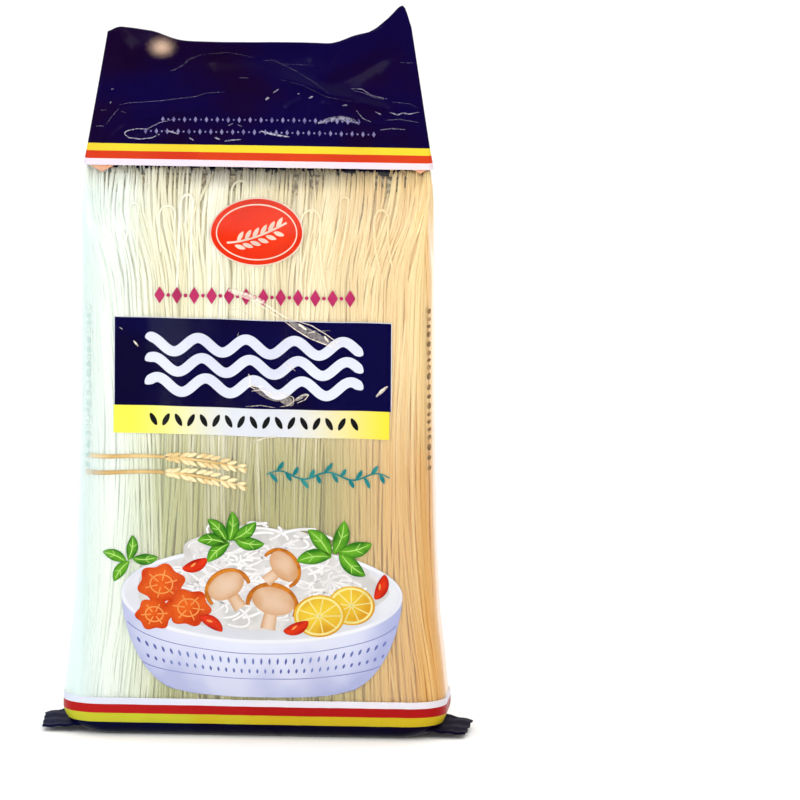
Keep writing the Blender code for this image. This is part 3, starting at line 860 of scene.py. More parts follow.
def tubes(name, paths, outs, radii, tones, sides, material):
    """One mesh of closed tubes along paths, an array of strands by points by 3."""
    ahead = np.gradient(paths, axis=1)
    ahead /= np.linalg.norm(ahead, axis=2, keepdims=True)
    across = np.cross(ahead, outs)
    across /= np.linalg.norm(across, axis=2, keepdims=True)
    up = np.cross(across, ahead)
    turns = 2 * math.pi * np.arange(sides) / sides
    count, steps = paths.shape[:2]
    thick = np.broadcast_to(radii[:, None], (count, steps)).copy()
    thick[:, 0] *= 0.8
    thick[:, -1] *= 0.7
    ring = np.cos(turns)[:, None] * up[:, :, None] + np.sin(turns)[:, None] * across[:, :, None]
    points = (paths[:, :, None] + thick[:, :, None, None] * ring).reshape(-1, 3)
    first = np.arange(count)[:, None, None] * steps * sides
    level = np.arange(steps - 1)[None, :, None] * sides
    k = np.arange(sides)[None, None, :]
    near, beside = first + level + k, first + level + (k + 1) % sides
    quads = np.stack([near, near + sides, beside + sides, beside], axis=-1).reshape(-1, 4)
    foot = (np.arange(count) * steps * sides)[:, None] + np.arange(sides)[None, :]
    top = foot + (steps - 1) * sides
    made = build_mesh(name, points, quads, foot, top[:, ::-1], materials=[material])
    add_attribute(made, "tone", np.repeat(tones, steps * sides))
    return made


def from_face_middle(s):
    """Arc length from the middle of the nearer broad face, of places from -half to half the round."""
    return np.where(np.abs(s) < ROUND / 4, s, s - np.copysign(ROUND / 2, s))


def locks(rng, s):
    """For each noodle its lock's middle, and random shares for the lock's tone and depth."""
    edges = [-ROUND / 2]
    while edges[-1] < ROUND / 2:
        edges.append(edges[-1] + rng.uniform(*LOCK_WIDTHS))
    edges = np.array(edges)
    middles = (edges[:-1] + edges[1:]) / 2
    which = np.clip(np.searchsorted(edges, s) - 1, 0, len(middles) - 1)
    return middles[which], rng.uniform(0, 1, len(middles))[which], rng.uniform(0, 1, len(middles))[which]


def noodle_layer(seed, depth, wild_share):
    """Paths of one layer of noodles round the whole bundle, with their ways out and tones."""
    rng = np.random.default_rng(seed)
    count = NOODLES_IN_A_LAYER
    s = ((np.arange(count) + 0.5 + rng.uniform(-0.35, 0.35, count)) / count - 0.5) * ROUND
    lock_middle, lock_tone, lock_depth = (v[:, None] for v in locks(rng, s))
    wild = (rng.uniform(0, 1, count) < wild_share)[:, None]
    s = s[:, None]
    t = np.linspace(0, 1, NOODLE_POINTS)[None, :]
    top = rng.uniform(*NOODLE_TOP, count)[:, None] - LOCK_TOP_DROP * lock_depth
    top = np.where(wild, rng.uniform(SHOULDER_Z, NOODLE_TOP[1], count)[:, None], top)
    foot = rng.uniform(*NOODLE_FOOT, count)[:, None]
    z = foot + (top - foot) * t
    wander = np.zeros_like(z)
    for waves, share in ((1.1, 1.0), (2.3, 0.45), (4.1, 0.16)):
        phase = rng.uniform(0, 2 * math.pi, count)[:, None]
        strength = rng.uniform(0.4, 1.0, count)[:, None]
        wander += NOODLE_WANDER * share * strength * np.sin(2 * math.pi * waves * t + phase)
    tilt = rng.normal(0, NOODLE_TILT, count)[:, None] * (t - 0.45)
    splay = rng.normal(0, NOODLE_SPLAY, count)[:, None] * smooth((z - 0.19) / 0.05)
    curl = rng.normal(0, NOODLE_CURL, count)[:, None] * np.clip((z - 0.165) / 0.07, 0, 2) ** 2
    near = from_face_middle(s)
    fan = FAN_OUT * near * smooth((z - 0.12) / 0.085) * (1 - 0.55 * smooth((z - 0.214) / 0.022))
    fan = fan * (1 - smooth((np.abs(near) - 0.058) / 0.012))
    drift = LOCK_SWAY * np.sin(z / 0.045 + 6.0 * lock_tone)
    gather = LOCK_PULL * (0.10 + 0.90 * smooth((z - 0.188) / 0.046))
    pulled = s + (lock_middle - s) * gather + drift
    pulled = pulled + wander + tilt + splay + fan + np.where(wild, curl, 0)
    ripple = NOODLE_RIPPLE * np.sin(2 * math.pi * 2.2 * t + rng.uniform(0, 6.3, count)[:, None])
    rise = smooth((z - 0.16) / 0.06)
    edge = np.abs(s - lock_middle) / LOCK_WIDTHS[0]
    sunk = (LOCK_SINK * lock_depth + LOCK_EDGE_SINK * np.minimum(edge, 1) ** 2) * (0.22 + 0.78 * rise)
    deep = depth + np.abs(ripple) + np.where(wild, 0, sunk + rng.uniform(0, NOODLE_JITTER, count)[:, None])
    paths, outs = wrap(pulled, z, deep)
    tones = np.clip(0.22 + 0.58 * lock_tone[:, 0] + rng.normal(0, 0.12, count), 0, 1)
    return paths, outs, tones, np.abs(s[:, 0]) < ROUND / 4


def add_noodles(material):
    """The noodles: the outer layers in front and behind, the inner ones, and loops at the tops."""
    layers = []
    for k in range(NOODLE_LAYERS):
        wild_share = INNER_WILD_SHARE if k else WILD_SHARE
        layers.append(noodle_layer(100 + k, NOODLE_DEPTH + k * LAYER_STEP, wild_share))
    outer = [np.concatenate(v) for v in zip(*layers[:2])]
    inner = [np.concatenate(v) for v in zip(*layers[2:])]
    made = []
    in_front = outer[3]
    for name, (paths, outs, tones), sides, seed in (
        ("noodles_front", [v[in_front] for v in outer[:3]], NOODLE_SIDES, 3),
        ("noodles_back", [v[~in_front] for v in outer[:3]], NOODLE_SIDES, 4),
        ("noodles_inner", [v[:, ::2] if v.ndim == 3 else v for v in inner[:3]], 4, 5),
    ):
        radii = NOODLE_RADIUS * np.random.default_rng(seed).uniform(0.80, 1.12, len(paths))
        made.append(tubes(name, paths, outs, radii, tones, sides, material))
    made.append(noodle_loops(material))
    return made


def noodle_loops(material):
    """Noodles that turn back on themselves near the top."""
    rng = np.random.default_rng(33)
    paths = []
    outs = []
    for face, count in ((-1, FRONT_LOOPS), (1, BACK_LOOPS)):
        for k in range(count):
            centre = rng.uniform(-0.062, 0.062)
            radius = rng.uniform(0.0016, 0.0048)
            crown = rng.uniform(0.2230, 0.2370)
            left, right = rng.uniform(0.012, 0.045, 2)
            turn = np.linspace(-0.5 * math.pi, 0.5 * math.pi, 14)
            arc_x = centre + radius * np.sin(turn) * (1 + 0.3 * np.cos(turn))
            arc_z = crown - radius * rng.uniform(1.2, 2.2) * (1 - np.cos(turn))
            fall = np.linspace(1, 0, 8, endpoint=False)
            lean = rng.normal(0, 0.004, 2)
            x = np.concatenate([
                centre - radius + lean[0] * fall ** 2, arc_x, centre + radius + lean[1] * fall[::-1] ** 2])
            z = np.concatenate([arc_z[0] - left * fall, arc_z, arc_z[-1] - right * fall[::-1]])
            y = face * (face_depth(x, z) - NOODLE_DEPTH + 0.00005)
            paths.append(np.stack([x, y, z], axis=1))
            outs.append(np.tile((0.0, face, 0.0), (len(x), 1)))
    tones = rng.uniform(0.1, 0.6, len(paths))
    radii = NOODLE_RADIUS * rng.uniform(0.80, 0.95, len(paths))
    return tubes("noodle_loops", np.array(paths), np.array(outs), radii, tones, NOODLE_SIDES, material)


def bundle_core(material):
    """An opaque core under the noodles, closed at both ends."""
    depth = NOODLE_DEPTH + NOODLE_LAYERS * LAYER_STEP + CORE_GAP
    heights = np.concatenate([(0.0045, 0.006, 0.010, 0.016), np.linspace(0.024, 0.2370, 50)])
    s = np.linspace(-0.5, 0.5, 240, endpoint=False) * ROUND
    s, z = np.meshgrid(s, heights)
    points, _ = wrap(s, z, np.full_like(z, depth))
    columns = s.shape[1]
    faces = grid_faces(len(heights), columns, True)
    bottom = np.arange(columns)[::-1][None, :]
    top = ((len(heights) - 1) * columns + np.arange(columns))[None, :]
    return build_mesh("bundle_core", points.reshape(-1, 3), faces, bottom, top, materials=[material])


# Print


def rectangle(x0, x1, z0, z1, step=0.0015, skew=0.0):
    """A filled rectangle as points, faces and shade; its lines fall to the right by the skew."""
    across, up = (max(2, round(length / step) + 1) for length in (x1 - x0, z1 - z0))
    z, x = np.meshgrid(np.linspace(z0, z1, up), np.linspace(x0, x1, across), indexing="ij")
    points = np.stack([x.ravel(), (z - skew * x).ravel()], axis=1)
    return points, grid_faces(up, across, False), [], np.zeros(len(points))


def turned(x, z, turn, cx=0.0, cz=0.0):
    """Places turned about their origin, which is laid at (cx, cz)."""
    c, s = math.cos(turn), math.sin(turn)
    return cx + x * c - z * s, cz + x * s + z * c


def polar(cx, cz, reach, angle, squash=1.0):
    """The place at a reach and an angle from a centre, squashed in height."""
    return cx + reach * math.cos(angle), cz + squash * reach * math.sin(angle)


def blob(cx, cz, rx, rz, turn=0.0, lobes=0, depth=0.0, start=0.0, step=PRINT_STEP):
    """A filled oval, or a lobed one, as points, faces and shade that grows to the rim and foot."""
    rings = max(2, round(max(rx, rz) / step))
    count = max(16, int(2 * math.pi * max(rx, rz) / step))
    angle = 2 * math.pi * np.arange(count) / count
    edge = 1 + depth * np.cos(lobes * (angle - start))
    share = np.arange(1, rings + 1)[:, None] / rings
    x, z = turned(rx * edge * np.cos(angle) * share, rz * edge * np.sin(angle) * share, turn)
    points = np.concatenate([np.stack([cx + x.ravel(), cz + z.ravel()], axis=1), [[cx, cz]]])
    centre = np.full(count, len(points) - 1)
    fan = np.stack([centre, np.arange(count), np.roll(np.arange(count), -1)], axis=1)
    shade = 0.7 * share ** 2 + 0.3 * (0.5 - 0.5 * np.sin(angle + turn) * share)
    return points, grid_faces(rings, count, True)[:, ::-1], fan, np.append(shade.ravel(), 0.15)


def ribbon(x, z, widths, across=4):
    """A stroke along a line of places, with a width at each or one for all, and shaded rims."""
    path = np.stack(np.broadcast_arrays(x, z), axis=1)
    ahead = np.gradient(path, axis=0)
    ahead /= np.linalg.norm(ahead, axis=1, keepdims=True)
    beside = np.stack([-ahead[:, 1], ahead[:, 0]], axis=1)
    share = np.linspace(-0.5, 0.5, across + 1)
    widths = np.broadcast_to(widths, len(path))
    points = path[:, None] + share[None, :, None] * widths[:, None, None] * beside[:, None]
    shade = np.tile(4 * share ** 2, len(path))
    return points.reshape(-1, 2), grid_faces(len(path), across + 1, False), [], shade


def line(start, end, widths, steps, across=2):
    """A straight stroke from one place to another."""
    return ribbon(*np.linspace(start, end, steps).T, widths, across)


def leaf(cx, cz, length, width, turn, fullness=0.6, steps=14, bend=0.0):
    """A leaf, grain or petal: a stroke that swells and ends in points."""
    t = np.linspace(0.01, 0.99, steps)
    places = turned(length * (t - 0.5), bend * length * (t - 0.5) ** 2, turn, cx, cz)
    return ribbon(*places, width * np.sin(math.pi * t) ** fullness)


def lozenge(cx, cz, width, height):
    """A diamond with straight sides."""
    t = np.linspace(0.01, 0.99, 12)
    return ribbon(cx, cz + height * (t - 0.5), width * (1 - np.abs(2 * t - 1)))


def ring_stroke(cx, cz, rx, rz, width, start=0.0, end=2 * math.pi, turn=0.0):
    """A stroke along an oval or a part of one."""
    angle = np.linspace(start, end, max(12, int((end - start) * max(rx, rz) / PRINT_STEP)))
    return ribbon(*turned(rx * np.cos(angle), rz * np.sin(angle), turn, cx, cz), width)


def from_photo(point, origin):
    """The place on the pack, x and z, that the camera shows at a point of the photograph."""
    scale = PHOTO_WIDTH / FRAME_WIDTH
    a, e = math.radians(CAMERA_AZIMUTH), math.radians(CAMERA_ELEVATION)
    x = (point[0] - origin[0]) / (scale * math.cos(a))
    return x, (origin[1] - point[1]) / (scale * math.cos(e)) + x * math.sin(a) * math.tan(e)


def glint_stroke(glint, origin, fade):
    """A painted highlight along a crease through a few places, thin at its ends; its shade is its faded
    brightness.
    """
    width, strength = glint[0] * FRAME_WIDTH / PHOTO_WIDTH, glint[1] ** fade
    places = np.array([from_photo(point, origin) for point in glint[2:]])
    steps = np.concatenate([[0], np.cumsum(np.linalg.norm(np.diff(places, axis=0), axis=1))])
    t = np.linspace(0, 1, max(8, int(steps[-1] / GLINT_STEP)))
    x, z = (np.interp(t * steps[-1], steps, places[:, k]) for k in (0, 1))
    widths = width * (0.25 + 0.75 * np.sin(math.pi * np.clip(t, 0.02, 0.98)) ** 0.5)
    points, quads, fan, shade = ribbon(x, z, widths)
    return points, quads, fan, strength * (1 - 0.75 * shade)


def facet_reflection(cx, cz, length, width, turn, strength):
    """A painted reflection on a flat patch in the film between two creases, as strong all over."""
    points, quads, fan, shade = leaf(cx, cz, length, width, turn, 0.45)
    return points, quads, fan, np.full(len(shade), strength)


class Ink:
    """Shapes of one ink on one face of the bag, gathered into one piece. The face is -1 for the
    front and 1 for the back. Levels go up towards the film, and proud shapes lie on the film."""

    def __init__(self, name, material, level=0, face=-1, proud=False):
        self.name, self.material, self.face, self.proud = name, material, face, proud
        self.depth = -FILM_LIFT - PROUD_LIFT if proud else INK_DEPTH - level * INK_STEP
        self.shapes = []

    def add(self, shape, lift=0.0):
        self.shapes.append((*shape, np.full(len(shape[0]), lift)))

    def piece(self):
        points, quads, fans, shades, lifts = zip(*self.shapes)
        starts = np.cumsum([0] + [len(part) for part in points])

        def joined(parts, corners):
            return np.concatenate([np.reshape(part, (-1, corners)).astype(int) + start
                                   for part, start in zip(parts, starts)])
        quads, fans = joined(quads, 4), joined(fans, 3)
        x, z = np.concatenate(points).T
        depth = face_depth(x, z) - self.depth + np.concatenate(lifts)
        if self.proud:
            depth = depth + film_relief(x, z, np.full(x.shape, self.face < 0))
        y = self.face * depth + np.where(z > HEADER_FOOT_Z, header_sway(x, z), 0)
        if self.face > 0:
            quads, fans = quads[:, ::-1], fans[:, ::-1]
        made = build_mesh(self.name, np.stack([x, y, z], axis=1), quads, fans, materials=[self.material])
        add_attribute(made, "shade", np.concatenate(shades))
        return made


LABEL_HALF_WIDTH = 0.0584
LABEL_TOP = 0.1796
LABEL_FOOT = 0.1420
BAND_FOOT = 0.1301
LABEL_SKEW = 0.011
LABEL_WAVES = (-0.0455, 0.0465)


def label_wave(z, start):
    """A wavy stroke with rounded ends across the name panel."""
    x0, x1 = LABEL_WAVES
    t = np.linspace(0, 1, int((x1 - x0) / 0.0005))
    x = x0 + (x1 - x0) * t
    z = z - LABEL_SKEW * x + 0.0030 * np.sin(2 * math.pi * 4.5 * t + start)
    return ribbon(x, z, 0.0043 * np.sqrt(np.clip(np.minimum(t, 1 - t) / 0.021, 0.02, 1)))


def label(inks):
    """The name panel: a navy field with plain noodle waves over a yellow band with grains."""
    half = LABEL_HALF_WIDTH
    rim = Ink("print_label_rim", inks["white"])
    rim.add(rectangle(-half - 0.0003, half + 0.0003, LABEL_FOOT, LABEL_TOP + 0.0003, skew=LABEL_SKEW))
    panel = Ink("print_label", inks["navy"], 1)
    panel.add(rectangle(-half, half, LABEL_FOOT, LABEL_TOP, skew=LABEL_SKEW))
    band = Ink("print_band", inks["band"], 1)
    band.add(rectangle(-half - 0.0004, half - 0.0006, BAND_FOOT, LABEL_FOOT, skew=LABEL_SKEW))
    waves = Ink("print_label_waves", inks["white"], 2)
    for k, lift in enumerate((-0.0086, 0.0, 0.0086)):
        waves.add(label_wave(0.1598 + lift, 0.5 * k))
    grains = Ink("print_band_grains", inks["black"], 2)
    for k, x in enumerate(-0.0420 + 0.085 * np.arange(17) / 16):
        turn = math.radians(62 if k % 2 else 118)
        grains.add(leaf(x, 0.1362 - LABEL_SKEW * x, 0.0060, 0.0023, turn, 0.55))
    return [rim, panel, band, waves, grains]


def emblem(inks):
    """An orange-red oval badge with a pale sprig of rice on it."""
    cx, cz = 0.0012, 0.2164
    rim = Ink("print_badge_rim", inks["pale_pink"])
    rim.add(blob(cx, cz, 0.0199, 0.0136))
    badge = Ink("print_badge", inks["orange_red"], 1)
    badge.add(blob(cx, cz, 0.0193, 0.0131))
    lines = Ink("print_badge_lines", inks["pale_pink"], 2)
    lines.add(ring_stroke(cx, cz, 0.0170, 0.0110, 0.0005))
    t = np.linspace(0, 1, 24)
    x, z = cx - 0.0125 + 0.0250 * t, cz - 0.0042 + 0.0085 * t ** 1.6
    lines.add(ribbon(x, z, 0.0008))
    for k in range(4, 22, 3):
        for side in (-1, 1):
            turn = math.radians(22 + side * 38)
            lines.add(leaf(x[k] + 0.0013, z[k] + side * 0.0022, 0.0048, 0.0018, turn, 0.7))
    return [rim, badge, lines]


def magenta_row(inks):
    """A row of plain diamonds and dots under the badge."""
    row = Ink("print_diamonds", inks["magenta"], 1)
    gaps, length = 11, 0.0805
    for k in range(gaps + 1):
        x = -0.0395 + length * k / gaps
        z = 0.1896 - 0.004 * x
        row.add(lozenge(x, z, 0.0046, 0.0074))
        if k < gaps:
            row.add(blob(x + length / gaps / 2, z, 0.0008, 0.0008, step=0.0005))
    return [row]


def teal_vine(inks):
    """A thin teal vine with small leaves on both sides."""
    vine = Ink("print_vine", inks["teal"], 1)
    t = np.linspace(0, 1, 120)
    x, z = 0.0060 + 0.0520 * t, 0.1140 + 0.0016 * np.sin(2 * math.pi * 2.5 * t) - 0.0008 * t
    vine.add(ribbon(x, z, 0.0005 + 0.0003 * np.sin(math.pi * t)))
    rng = np.random.default_rng(17)
    for k in range(15):
        at = int(4 + 7.6 * k)
        side = 1 if k % 2 else -1
        length = rng.uniform(0.0040, 0.0056)
        turn = side * math.radians(rng.uniform(48, 66))
        place = x[at] + 0.42 * length * math.cos(turn), z[at] + 0.50 * length * math.sin(turn)
        vine.add(leaf(*place, length, 0.0018, turn, 0.8, bend=0.3 * side))
    return [vine]


def rice_stalks(inks):
    """Two straw-coloured rice ears that lie across the left of the front."""
    stalks = Ink("print_stalks", inks["straw"], 1)
    grains = Ink("print_stalk_grains", inks["straw_light"], 2)
    t = np.linspace(0, 1, 70)
    x = -0.0710 + 0.0690 * t
    for foot, rise, droop in ((0.1200, 0.0010, 0.0042), (0.1128, 0.0016, 0.0048)):
        z = foot + rise * np.sin(math.pi * t) - droop * t ** 3
        stalks.add(ribbon(x, z, 0.0020 - 0.0013 * t))
        for k in range(10):
            at = 34 + round(3.4 * k)
            swell = math.sin(math.pi * (k + 1.5) / 12)
            along = math.atan2(z[at] - z[at - 3], x[at] - x[at - 3])
            for side in (-1, 1):
                place = x[at] + 0.0014, z[at] + side * 0.0019 * swell
                grains.add(leaf(*place, 0.0048, 0.0018, along + side * math.radians(24), 0.7))
    return [stalks, grains]


BOWL_X = 0.0040
BOWL_RIM_Z = 0.0620
BOWL_HALF = (0.0595, 0.0205)
BOWL_FOOT = (0.0330, 0.0205)


def bowl_place(t, u):
    """The place on the bowl's wall at t from its rim to its foot, and at u from -1 to 1 across."""
    half = BOWL_FOOT[0] + (BOWL_HALF[0] - BOWL_FOOT[0]) * np.sqrt(np.maximum(1 - t ** 1.7, 0))
    sag = BOWL_HALF[1] * np.sqrt(np.maximum(1 - u * u, 0))
    return BOWL_X + half * u, (BOWL_RIM_Z - sag) * (1 - t) + (BOWL_FOOT[1] - 0.12 * sag) * t


def bowl_wall(rows=22, columns=64):
    """The bowl's outside below the front of its rim, shaded towards both sides and the foot."""
    t, u = np.meshgrid(np.linspace(0, 1, rows), np.linspace(-1, 1, columns), indexing="ij")
    points = np.stack([v.ravel() for v in bowl_place(t, u)], axis=1)
    shade = np.clip(0.75 * np.abs(u) ** 3 + 0.45 * t, 0, 1)
    return points, grid_faces(rows, columns, False)[:, ::-1], [], shade.ravel()


def bowl_picture(inks):
    """A plain printed bowl of noodles, with vegetables laid on them."""
    rx, rz = BOWL_HALF
    wall = Ink("print_bowl_wall", inks["lilac"])
    wall.add(bowl_wall())
    inside = Ink("print_bowl_inside", inks["inside"], 1)
    inside.add(blob(BOWL_X, BOWL_RIM_Z, rx, rz))
    rim = Ink("print_bowl_rim", inks["porcelain"], 2)
    rim.add(ring_stroke(BOWL_X, BOWL_RIM_Z, rx - 0.0007, rz - 0.0006, 0.0017))
    marks = Ink("print_bowl_marks", inks["blue"], 1)
    for row, (t, size) in enumerate(((0.34, 0.0030), (0.52, 0.0022))):
        for u in (np.arange(31) + 0.5 * row - 15) / 16.5:
            marks.add(leaf(*bowl_place(t, u), size, 0.0010, math.radians(90 - 35 * u), 0.8, 8))
    for t in (0.20, 0.66):
        marks.add(ribbon(*bowl_place(t, np.linspace(-0.97, 0.97, 90)), 0.0003, across=2))
    return [wall, inside, rim, marks] + noodle_heap(inks)


def noodle_heap(inks):
    """White noodles heaped in the bowl, as many short bent strokes over a soft grey."""
    shade = Ink("print_noodle_shade", inks["noodle_shade"], 2)
    shade.add(blob(BOWL_X, 0.0640, 0.0530, 0.0172, lobes=9, depth=0.02))
    shade.add(blob(BOWL_X - 0.002, 0.0775, 0.0320, 0.0142, lobes=7, depth=0.04), 0.000008)
    strands = Ink("print_noodles", inks["noodle_white"], 3)
    rng = np.random.default_rng(12)
    for k in range(170):
        angle, reach = rng.uniform(0, 2 * math.pi), rng.uniform(0, 0.92) ** 0.6
        wide, middle, high = (0.043, 0.0640, 0.0115) if k % 3 else (0.026, 0.0795, 0.0120)
        cx = BOWL_X + wide * reach * math.cos(angle)
        cz = middle + high * reach * math.sin(angle)
        start = rng.uniform(0, 2 * math.pi)
        size = rng.uniform(0.0050, 0.0110)
        arc = ring_stroke(cx, cz, size, size * rng.uniform(0.25, 0.50), rng.uniform(0.0009, 0.0013),
                          start, start + rng.uniform(1.4, 3.0), rng.uniform(-0.5, 0.5))
        strands.add(arc, 0.000006 * (k % 6))
    return [shade, strands]


def lemon_slices(inks):
    """Round yellow slices with pale segments."""
    rind = Ink("print_lemon_rind", inks["lemon"], 5)
    pale = Ink("print_lemon_lines", inks["lemon_light"], 5.3)
    slices = ((0.0420, 0.0580, 0.0100, 0.2), (0.0285, 0.0535, 0.0108, 0.7))
    for n, (cx, cz, radius, turn) in enumerate(slices):
        lift = SLICE_LIFT * n
        rind.add(blob(cx, cz, radius, radius * 0.84), lift)
        pale.add(ring_stroke(cx, cz, radius * 0.87, radius * 0.73, 0.0009), lift)
        for k in range(9):
            tip = polar(cx, cz, 0.82 * radius, turn + k * 2 * math.pi / 9, 0.69 / 0.82)
            pale.add(line((cx, cz), tip, 0.0005, 8), lift)
    return [rind, pale]


def carrot_slices(inks):
    """Orange slices cut like flowers."""
    flesh = Ink("print_carrot", inks["carrot"], 5)
    heart = Ink("print_carrot_hearts", inks["carrot_light"], 5.3)
    slices = (
        (-0.0385, 0.0660, 0.0096, 0.3), (-0.0270, 0.0560, 0.0090, 0.9), (-0.0415, 0.0530, 0.0076, 0.1))
    for n, (cx, cz, radius, start) in enumerate(slices):
        lift = SLICE_LIFT * n
        flesh.add(blob(cx, cz, radius, 0.86 * radius, lobes=6, depth=0.10, start=start), lift)
        heart.add(ring_stroke(cx, cz, 0.50 * radius, 0.42 * radius, 0.0006), lift)
        for k in range(6):
            ends = [polar(cx, cz, s * radius, start + k * math.pi / 3, 0.86) for s in (0.18, 0.74)]
            heart.add(line(*ends, 0.0005, 6), lift)
    return [flesh, heart]


def mushroom_slices(inks):
    """Slices of mushroom: a browned cap over pale flesh and a stem."""
    browned = Ink("print_browned", inks["browned"], 5)
    tan = Ink("print_tan", inks["tan"], 6)
    angle = np.linspace(-0.25, math.pi + 0.25, 30)
    rim = 0.0006 + 0.0022 * np.sin(np.linspace(0.1, math.pi - 0.1, 30)) ** 0.5
    slices = ((-0.0100, 0.0640, 0.55, 1.0), (0.0085, 0.0575, -0.25, 1.1), (0.0120, 0.0735, -0.9, 0.9))
    for cx, cz, turn, size in slices:
        def at(x, z):
            return turned(size * x, size * z, turn, cx, cz)
        browned.add(ribbon(*at(0.0094 * np.cos(angle), 0.0078 * np.sin(angle)), size * rim))
        tan.add(blob(*at(0, 0.0020), 0.0083 * size, 0.0054 * size, turn))
        widths = size * np.linspace(0.0046, 0.0058, 14)
        tan.add(line(at(0, 0), at(0.0006, -0.0092), widths, 14, 4), -0.000008)
        for x in (-0.0042, 0.0042):
            browned.add(line(at(x, 0.0010), at(0.6 * x, -0.0012), 0.0005, 6))
    return [browned, tan]


def herb_leaves(inks):
    """Sprigs of green leaves with pale midribs."""
    green = Ink("print_leaves", inks["green"], 7)
    ribs = Ink("print_leaf_ribs", inks["green_light"], 8)
    sprigs = (
        (-0.0090, 0.0850, 0.0130, 6, 0.3), (0.0350, 0.0800, 0.0150, 5, -0.3),
        (-0.0520, 0.0760, 0.0110, 4, 0.5))
    for cx, cz, size, count, turn in sprigs:
        for k in range(count):
            angle = turn + math.radians(205 - 230 * k / (count - 1))
            middle = polar(cx, cz, 0.60 * size, angle, 0.8)
            green.add(leaf(*middle, size, 0.44 * size, angle, 0.75, bend=0.3))
            ribs.add(leaf(*middle, 0.8 * size, 0.0005, angle, 0.5, bend=0.3))
            for twig in (angle - 0.7, angle + 0.7):
                ribs.add(leaf(*polar(*middle, 0.10 * size, twig), 0.28 * size, 0.0003, twig, 0.5, 8))
    return [green, ribs]


def chilli_slices(inks):
    """Small red slices with a pale seed each."""
    red = Ink("print_chilli", inks["chilli"], 7)
    seeds = Ink("print_chilli_seeds", inks["carrot_light"], 8)
    slices = ((0.0190, 0.0480, 0.4), (-0.0170, 0.0500, 2.6), (0.0550, 0.0660, 1.2), (-0.0240, 0.0740, 0.4))
    for cx, cz, turn in slices:
        red.add(leaf(cx, cz, 0.0115, 0.0052, turn, 0.6, bend=0.4))
        seeds.add(leaf(cx - 0.001, cz + 0.0004, 0.0030, 0.0009, turn + 0.3, 0.7, 8))
    return [red, seeds]


def header_marks(inks):
    """Two rows of small pale diamonds and dots low on the header."""
    marks = Ink("print_header_marks", inks["pale_mark"], proud=True)
    for z, start, end in ((0.2607, -0.0405, 0.0425), (0.2556, -0.0478, 0.0495)):
        for k, x in enumerate(np.arange(start, end, 0.0023)):
            marks.add(blob(x, z, 0.0004, 0.0004, step=0.0002) if k % 2 else lozenge(x, z, 0.0015, 0.0025))
    return [marks]


def gusset_marks(inks):
    """The side panels' orange stripes where they turn in under the header's ends."""
    marks = Ink("print_gusset", inks["gusset"], 1)
    t = np.linspace(0.02, 0.98, 16)
    for x0, x1, width in ((-0.0714, -0.0608, 0.0028), (0.0660, 0.0712, 0.0016)):
        widths = width * (1 - np.abs(2 * t - 1))
        marks.add(ribbon(x0 + (x1 - x0) * t, 0.2411 - widths / 2, widths))
    return [marks]


def front_haze(inks):
    """Milky veils behind the print: one of thin haze all over that thickens at the left as painted glare,
    and one at the left low down that is painted glare.
    """
    half = 0.0735
    points, quads, fan, _ = rectangle(-half, half, 0.0170, 0.2402, step=0.0025)
    x, z = points.T
    edges = smooth((half - np.abs(x)) / 0.006) * (1 - 0.8 * smooth((z - 0.226) / 0.010))
    # Painted glare: the veils thicken at the left and at the left low down.
    left = smooth((-0.047 - x) / 0.016)
    low_left_glare = smooth((-0.037 - x) / 0.020) * smooth((0.107 - z) / 0.028) * smooth((z - 0.020) / 0.030)
    haze_and_glare_veil = Ink("film_haze_and_glare", inks["milky_haze_and_glare"], -2)
    haze_and_glare_veil.add((points, quads, fan, (0.10 + 0.13 * left) * edges))
    low_glare_veil = Ink("film_glare_low", inks["milky_haze_and_glare"], -2.4)
    low_glare_veil.add((points, quads, fan, 0.23 * low_left_glare * edges))
    return [haze_and_glare_veil, low_glare_veil]


def glints(inks):
    """Painted highlights along sharp creases in the header's film and in the clear front, painted
    reflections on flat patches between the front's creases, and a painted warm reflection of a lamp on the
    header.
    """
    header = Ink("crease_glints_header", inks["crease_highlight_header"], proud=True)
    for glint in HEADER_GLINTS:
        header.add(glint_stroke(glint, HEADER_ORIGIN, HEADER_FADE))
    front = Ink("crease_glints_front", inks["crease_highlight_front"], proud=True)
    for glint in FRONT_GLINTS:
        front.add(glint_stroke(glint, FRONT_ORIGIN, FRONT_FADE))
    for patch in FRONT_FACET_REFLECTIONS:
        front.add(facet_reflection(*patch))
    # A painted warm reflection of a lamp, soft and blurred, on the header.
    warm_reflection = Ink("header_painted_warm_reflection", inks["painted_warm_reflection"], proud=True)
    cx, cz, rx, rz = -0.0410, 0.2916, 0.0085, 0.0066
    points, quads, fan, _ = blob(cx, cz, rx, rz, step=0.0005)
    reach = np.hypot((points[:, 0] - cx) / rx, (points[:, 1] - cz) / rz)
    warm_reflection.add((points, quads, fan, 0.84 * (1 - smooth(reach)) ** 1.6))
    return [header, front, warm_reflection]


def back_print(inks):
    """The back's plain print: a navy field with grains over a yellow band, and a navy strip that
    shows between the noodles' tops from the front."""
    half, foot = 0.046, 0.1050
    panel = Ink("print_back_label", inks["navy"], 1, face=1)
    panel.add(rectangle(-half, half, foot, 0.1750, step=0.002))
    panel.add(rectangle(-0.0700, 0.0700, 0.2352, 0.2411), lift=0.00007)
    band = Ink("print_back_band", inks["band"], 1, face=1)
    band.add(rectangle(-half, half, 0.0960, foot, step=0.002))
    marks = Ink("print_back_marks", inks["white"], 2, face=1)
    for row in range(7):
        for k in range(11):
            turn = math.radians(60 if (k + row) % 2 else 120)
            marks.add(leaf(-0.038 + 0.076 * k / 10, 0.1120 + 0.0085 * row, 0.0046, 0.0016, turn, 0.55, 10))
    return [panel, band, marks]


